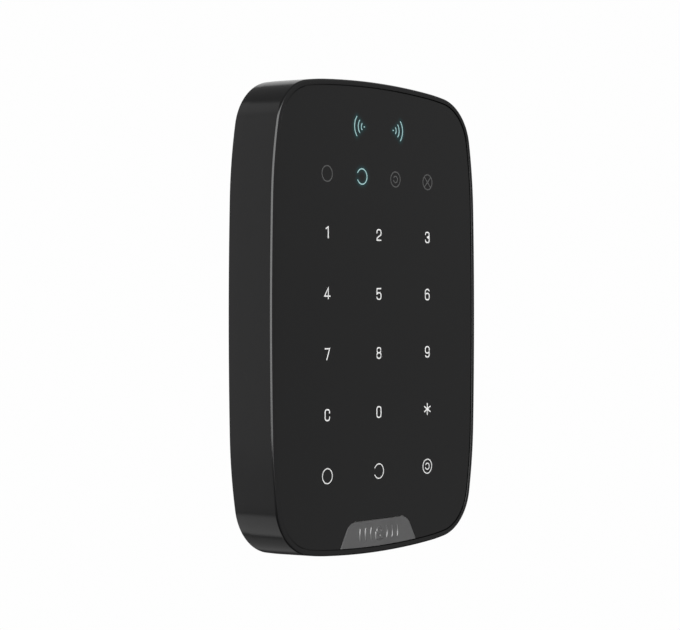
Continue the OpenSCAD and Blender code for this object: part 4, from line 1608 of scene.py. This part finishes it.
class Palette:
    """Every finish of the reader."""

    HOUSING = MouldedPlastic("housing_satin_black", (0.0042, 0.0042, 0.0044), 0.15,
                             grain_scale=3200.0, grain_mm=0.0006, wear=0.12)
    PANEL = PrintedPanel("panel_black_glass", (0.0045, 0.0045, 0.0046), 0.15)
    PANEL_GLOW = GlowingPanel("panel_black_glass_lit", (0.0045, 0.0045, 0.0046), 0.15,
                              glow_colour=(0.0, 0.024, 0.026))
    BADGE = MouldedPlastic("badge_satin_grey", (0.079, 0.079, 0.0795), 0.34, grain_scale=3600.0,
                           grain_mm=0.0012, wear=0.2)
    EMBLEM = MouldedPlastic("emblem_polished_grey", (0.077, 0.077, 0.0775), 0.2,
                            grain_scale=3600.0, grain_mm=0.0006, wear=0.1, specular=1.0)
    KEY_INK = Ink("key_legend_white", (0.50, 0.50, 0.495), 0.5, glow=0.25)
    ICON_INK = Ink("mode_legend_white", (0.42, 0.42, 0.416), 0.5, glow=0.22)
    # Painted glow: a faint emission brightens the unlit icons, which have no light behind them.
    UNLIT = Ink("status_icon_unlit", (0.05, 0.05, 0.05), 0.45, glow=0.020)
    LIT = Ink("status_icon_lit", (0.18, 0.23, 0.23), 0.4, glow=1.0,
              glow_colour=(0.15, 0.31, 0.32))
    PLATE = MouldedPlastic("plate_black_plastic", (0.012, 0.012, 0.0125), 0.42,
                           grain_scale=2400.0, grain_mm=0.004, wear=0.3)
    COVER = MouldedPlastic("cover_black_plastic", (0.014, 0.014, 0.0148), 0.45,
                           grain_scale=2600.0, grain_mm=0.004, wear=0.3)
    ZINC = Metal("zinc_plated_steel", (0.55, 0.56, 0.58), 0.28, line_scale=2600.0)
    TIN = Metal("tinned_shield", (0.60, 0.61, 0.62), 0.32, line_scale=1800.0)
    NICKEL = Metal("nickel_strip", (0.62, 0.60, 0.56), 0.24, line_scale=2200.0)
    SPRING = Metal("spring_steel_wire", (0.50, 0.51, 0.53), 0.26, line_scale=6000.0)
    BRASS = Metal("knurled_brass", (0.62, 0.45, 0.17), 0.3, line_scale=4000.0,
                  tarnish=(0.30, 0.19, 0.07))
    COPPER = Metal("copper_foil", (0.72, 0.36, 0.20), 0.3, line_scale=1500.0,
                   tarnish=(0.35, 0.15, 0.08))
    WIRE = Metal("enamelled_wire", (0.70, 0.40, 0.14), 0.28, line_scale=5000.0,
                 tarnish=(0.40, 0.18, 0.06))
    TAPE = MouldedPlastic("adhesive_tape_black", (0.006, 0.006, 0.006), 0.75,
                          grain_scale=5000.0, grain_mm=0.01, wear=0.1)
    GUIDE = MouldedPlastic("light_guide_milky", (0.78, 0.78, 0.75), 0.3, grain_scale=1200.0,
                           grain_mm=0.002, wear=0.1)
    LED_WHITE = Ink("led_package_white", (0.85, 0.82, 0.62), 0.3, glow=0.3)
    LED_CYAN = Ink("led_package_cyan", (0.40, 0.80, 0.78), 0.3, glow=0.5,
                   glow_colour=(0.2, 0.8, 0.8))
    BOARD = CircuitBoard("board_green", (0.012, 0.095, 0.035), 0.3)
    FILM = MouldedPlastic("film_amber", (0.62, 0.36, 0.06), 0.25, grain_scale=900.0,
                          grain_mm=0.002, wear=0.1)
    FERRITE = MouldedPlastic("ferrite_grey", (0.055, 0.052, 0.050), 0.6, grain_scale=7000.0,
                             grain_mm=0.01, wear=0.2)
    CONNECTOR = MouldedPlastic("connector_black", (0.014, 0.014, 0.014), 0.5,
                               grain_scale=5000.0, grain_mm=0.005)
    PINS = GoldPinsInBase("connector_gold_pins", (0.80, 0.56, 0.20), 0.25)
    CHIP = MouldedPlastic("chip_black_epoxy", (0.016, 0.016, 0.017), 0.55, grain_scale=8000.0,
                          grain_mm=0.006)
    BUZZER = MouldedPlastic("buzzer_black", (0.012, 0.012, 0.013), 0.35, grain_scale=5000.0,
                            grain_mm=0.004)
    PASSIVES = MouldedPlastic("ceramic_parts", (0.34, 0.20, 0.11), 0.4, grain_scale=9000.0,
                              grain_mm=0.004)
    SWITCH = MouldedPlastic("switch_case_black", (0.020, 0.020, 0.021), 0.45,
                            grain_scale=6000.0, grain_mm=0.004)
    STEM = MouldedPlastic("stem_ivory", (0.76, 0.71, 0.60), 0.35, grain_scale=6000.0,
                          grain_mm=0.002)
    PLUNGER = MouldedPlastic("plunger_white", (0.70, 0.70, 0.68), 0.35, grain_scale=5000.0,
                             grain_mm=0.003)
    BUTTON = MouldedPlastic("button_grey", (0.20, 0.205, 0.215), 0.4, grain_scale=4000.0,
                            grain_mm=0.004)
    LABEL = MouldedPlastic("label_paper_white", (0.80, 0.80, 0.78), 0.55, grain_scale=7000.0,
                           grain_mm=0.004, wear=0.1)

    @staticmethod
    def cell(number: int) -> CellWrap:
        """The wrap of one cell.

        Args:
            number: The cell's number, from 1.

        Returns:
            Its finish.
        """
        low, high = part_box(f"battery_{number}")
        return CellWrap(f"cell_wrap_{number}", (0.035, 0.085, 0.19), 0.3, low_z=low.z,
                        high_z=high.z, button_up=number % 2 == 1)

    @classmethod
    def packed(cls) -> dict[str, tuple[Finish, Softness]]:
        """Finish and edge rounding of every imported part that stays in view.

        Returns:
            The finishes by node name.
        """
        crisp, fine, soft, none = Softness.CRISP, Softness.FINE, Softness.SOFT, Softness.NONE
        cells = {f"battery_{n}": (cls.cell(n), none) for n in range(1, 5)}
        return cells | {
            "wall_plate": (cls.PLATE, soft),
            "rear_cover": (cls.COVER, fine),
            "lock_screw": (cls.ZINC, fine),
            "housing_screws": (cls.ZINC, crisp),
            "board_screws": (cls.ZINC, crisp),
            "lock_insert": (cls.BRASS, fine),
            "panel_tape": (cls.TAPE, none),
            "light_guide": (cls.GUIDE, crisp),
            "key_leds": (cls.LED_WHITE, crisp),
            "indicator_leds": (cls.LED_CYAN, crisp),
            "touch_board": (cls.BOARD, crisp),
            "main_board": (cls.BOARD, crisp),
            "insulation_film": (cls.FILM, none),
            "reader_antenna": (cls.COPPER, none),
            "ferrite_sheet": (cls.FERRITE, none),
            "board_socket": (cls.CONNECTOR, crisp),
            "board_header": (cls.PINS, crisp),
            "processor": (cls.CHIP, crisp),
            "reader_chip": (cls.CHIP, crisp),
            "radio_module": (cls.TIN, fine),
            "radio_antenna": (cls.WIRE, none),
            "buzzer": (cls.BUZZER, fine),
            "board_components": (cls.PASSIVES, crisp),
            "tamper_switch": (cls.SWITCH, fine),
            "power_switch": (cls.SWITCH, fine),
            "tamper_switch_stem": (cls.STEM, fine),
            "power_switch_stem": (cls.STEM, fine),
            "tamper_plunger": (cls.PLUNGER, fine),
            "tamper_spring": (cls.SPRING, none),
            "power_button": (cls.BUTTON, fine),
            "battery_springs": (cls.SPRING, none),
            "contact_links": (cls.NICKEL, crisp),
            "battery_terminals": (cls.NICKEL, crisp),
            "id_label": (cls.LABEL, none),
        }


@dataclass(frozen=True)
class SoftBox:
    """A soft rectangular light far away, placed by compass direction and height in degrees.

    Azimuth 0 is +X and 90 is +Y.
    """

    azimuth: float
    half_width: float
    low: float
    high: float
    strength: float
    soft_side: float = 4.0
    soft_low: float = 3.0
    soft_high: float = 3.0


@dataclass
class Studio:
    """A plain pale floor and backdrop, and soft boxes all round."""

    boxes: tuple[SoftBox, ...] = (
        SoftBox(150.0, 47.0, -21.5, 46.3, 0.40, 1.5, 1.0, 0.8),
        SoftBox(36.0, 21.0, 3.0, 37.0, 0.66, 4.0, 2.0, 2.5),
        SoftBox(122.0, 19.0, -60.0, -24.0, 0.80, 4.0, 7.0, 4.0),
        SoftBox(73.0, 23.0, -60.0, -31.0, 0.25, 5.0, 6.0, 5.0),
        SoftBox(229.0, 40.0, -6.6, 38.0, 4.8, 8.0, 2.3, 5.0),
        SoftBox(288.0, 44.0, -60.0, 60.0, 0.248, 15.0, 10.0, 10.0),
        SoftBox(325.0, 50.0, 2.0, 60.0, 0.03, 10.0, 3.0, 10.0),
        SoftBox(0.0, 20.0, -30.0, 50.0, 0.10, 8.0, 8.0, 8.0),
        SoftBox(90.0, 60.0, -10.0, 30.0, 0.10, 8.0, 6.0, 6.0),
        SoftBox(82.0, 15.0, -24.0, 8.0, 1.8, 4.0, 4.0, 3.0),
    )
    ambient: float = 0.05
    zenith: float = 0.14
    zenith_from: float = 30.0
    zenith_full: float = 38.0
    backdrop: float = 0.99
    floor_z: float = -0.25
    floor_half: float = 20.0

    def build(self) -> None:
        """Build the floor and the light."""
        self._world()
        self._floor()

    @staticmethod
    def _sine(degrees: float) -> float:
        """The height on a unit sphere at an elevation, kept between nadir and zenith."""
        return math.sin(math.radians(max(-90.0, min(90.0, degrees))))

    @staticmethod
    def _mask(graph: Graph, value: bpy.types.NodeSocket, low: float, high: float
              ) -> bpy.types.NodeSocket:
        """A smooth step between two values.

        Args:
            graph: The world's graph.
            value: The socket that is stepped.
            low: Where the result is 0.
            high: Where the result is 1.

        Returns:
            The result's socket.
        """
        step = graph.add("ShaderNodeMapRange", interpolation_type="SMOOTHSTEP")
        graph.feed(step, Value=value, From_Min=low, From_Max=high)
        return step.outputs[0]

    def _world(self) -> None:
        """Light the scene with soft boxes; the camera itself sees a plain pale backdrop."""
        world = bpy.data.worlds.new("studio")
        bpy.context.scene.world = world
        world.use_nodes = True
        world.node_tree.nodes.clear()
        graph = Graph(world.node_tree)
        coords = graph.add("ShaderNodeTexCoord")
        split = graph.add("ShaderNodeSeparateXYZ")
        graph.feed(split, Vector=coords.outputs["Generated"])
        height = split.outputs["Z"]
        flat = graph.add("ShaderNodeCombineXYZ")
        graph.feed(flat, X=split.outputs["X"], Y=split.outputs["Y"])
        level = graph.add("ShaderNodeVectorMath", operation="NORMALIZE")
        graph.put(level.inputs[0], flat.outputs[0])

        sine = self._sine
        sky = self._mask(graph, height, sine(self.zenith_from), sine(self.zenith_full))
        total = graph.math("MULTIPLY_ADD", sky, self.zenith, self.ambient)
        for box in self.boxes:
            aim = graph.add("ShaderNodeVectorMath", operation="DOT_PRODUCT")
            graph.put(aim.inputs[0], level.outputs[0])
            graph.put(aim.inputs[1], (*polar(1.0, box.azimuth), 0.0))
            near = math.cos(math.radians(box.half_width - box.soft_side))
            far = math.cos(math.radians(box.half_width + box.soft_side))
            side = self._mask(graph, aim.outputs["Value"], far, near)
            above = self._mask(graph, height, sine(box.low - box.soft_low),
                               sine(box.low + box.soft_low))
            below = self._mask(graph, height, sine(box.high + box.soft_high),
                               sine(box.high - box.soft_high))
            lit = graph.math("MULTIPLY", graph.math("MULTIPLY", side, above), below)
            total = graph.math("MULTIPLY_ADD", lit, box.strength, total)
        light = graph.add("ShaderNodeBackground")
        graph.feed(light, Color=WHITE, Strength=total)
        backdrop = graph.add("ShaderNodeBackground")
        graph.feed(backdrop, Color=WHITE, Strength=self.backdrop)
        path = graph.add("ShaderNodeLightPath")
        mix = graph.add("ShaderNodeMixShader")
        for socket, value in zip(mix.inputs, (path.outputs["Is Camera Ray"], light.outputs[0],
                                              backdrop.outputs[0])):
            graph.put(socket, value)
        graph.feed(graph.add("ShaderNodeOutputWorld"), Surface=mix.outputs[0])

    def _floor(self) -> None:
        """Lay the pale floor well below the reader; the soft boxes shine past it."""
        bm = bmesh.new()
        bmesh.ops.create_grid(bm, x_segments=2, y_segments=2, size=self.floor_half)
        mesh = bpy.data.meshes.new("floor")
        bm.to_mesh(mesh)
        bm.free()
        material = bpy.data.materials.new("floor_pale")
        material.use_nodes = True
        material.node_tree.nodes.clear()
        graph = Graph(material.node_tree)
        glow = graph.feed(graph.add("ShaderNodeEmission"), Color=WHITE, Strength=self.backdrop)
        graph.feed(graph.add("ShaderNodeOutputMaterial"), Surface=glow.outputs[0])
        mesh.materials.append(material)
        floor = add_object("floor", mesh)
        floor.location.z = self.floor_z
        for ray in ("visible_diffuse", "visible_glossy", "visible_transmission",
                    "visible_shadow"):
            setattr(floor, ray, False)


@dataclass
class Camera:
    """The camera, level and to the reader's left."""

    place: tuple[float, float, float] = (-0.50274, -0.43261, 0.00070)
    forward: tuple[float, float, float] = (0.75928, 0.65077, 0.0002)
    lens: float = 98.45
    sensor: float = 36.0
    clip: tuple[float, float] = (0.01, 60.0)

    def build(self) -> None:
        """Make the camera and the scene's colour handling."""
        data = bpy.data.cameras.new("camera")
        data.lens = self.lens
        data.sensor_width = self.sensor
        data.clip_start, data.clip_end = self.clip
        data.dof.use_dof = False
        camera = add_object("camera", data)
        camera.location = self.place
        camera.rotation_euler = Vector(self.forward).to_track_quat("-Z", "Y").to_euler()
        bpy.context.scene.camera = camera
        bpy.context.scene.view_settings.view_transform = "Standard"


def main() -> None:
    """Build the looks in order and report through the log."""
    logging.basicConfig(level=logging.INFO, format="%(name)s: %(message)s")
    low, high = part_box("front_housing")
    outline = Outline(half_w=(high.x - low.x) / 2 / MM, half_h=(high.z - low.z) / 2 / MM)
    shop = Workshop(outline)

    dresser = Dresser(shop)
    for name, (finish, softness) in Palette.packed().items():
        dresser.dress(name, finish, softness)

    Housing(shop, Palette.HOUSING).build()
    badge = Badge(shop, Palette.BADGE, Palette.EMBLEM)
    badge.build()
    TouchPanel(shop, Palette.PANEL, badge).build()
    Legends(shop, Palette.KEY_INK, Palette.ICON_INK, Palette.UNLIT, Palette.LIT,
            Palette.PANEL_GLOW).build()

    Studio().build()
    Camera().build()
    LOG.info("studio and camera are ready")


if __name__ == "__main__":
    main()
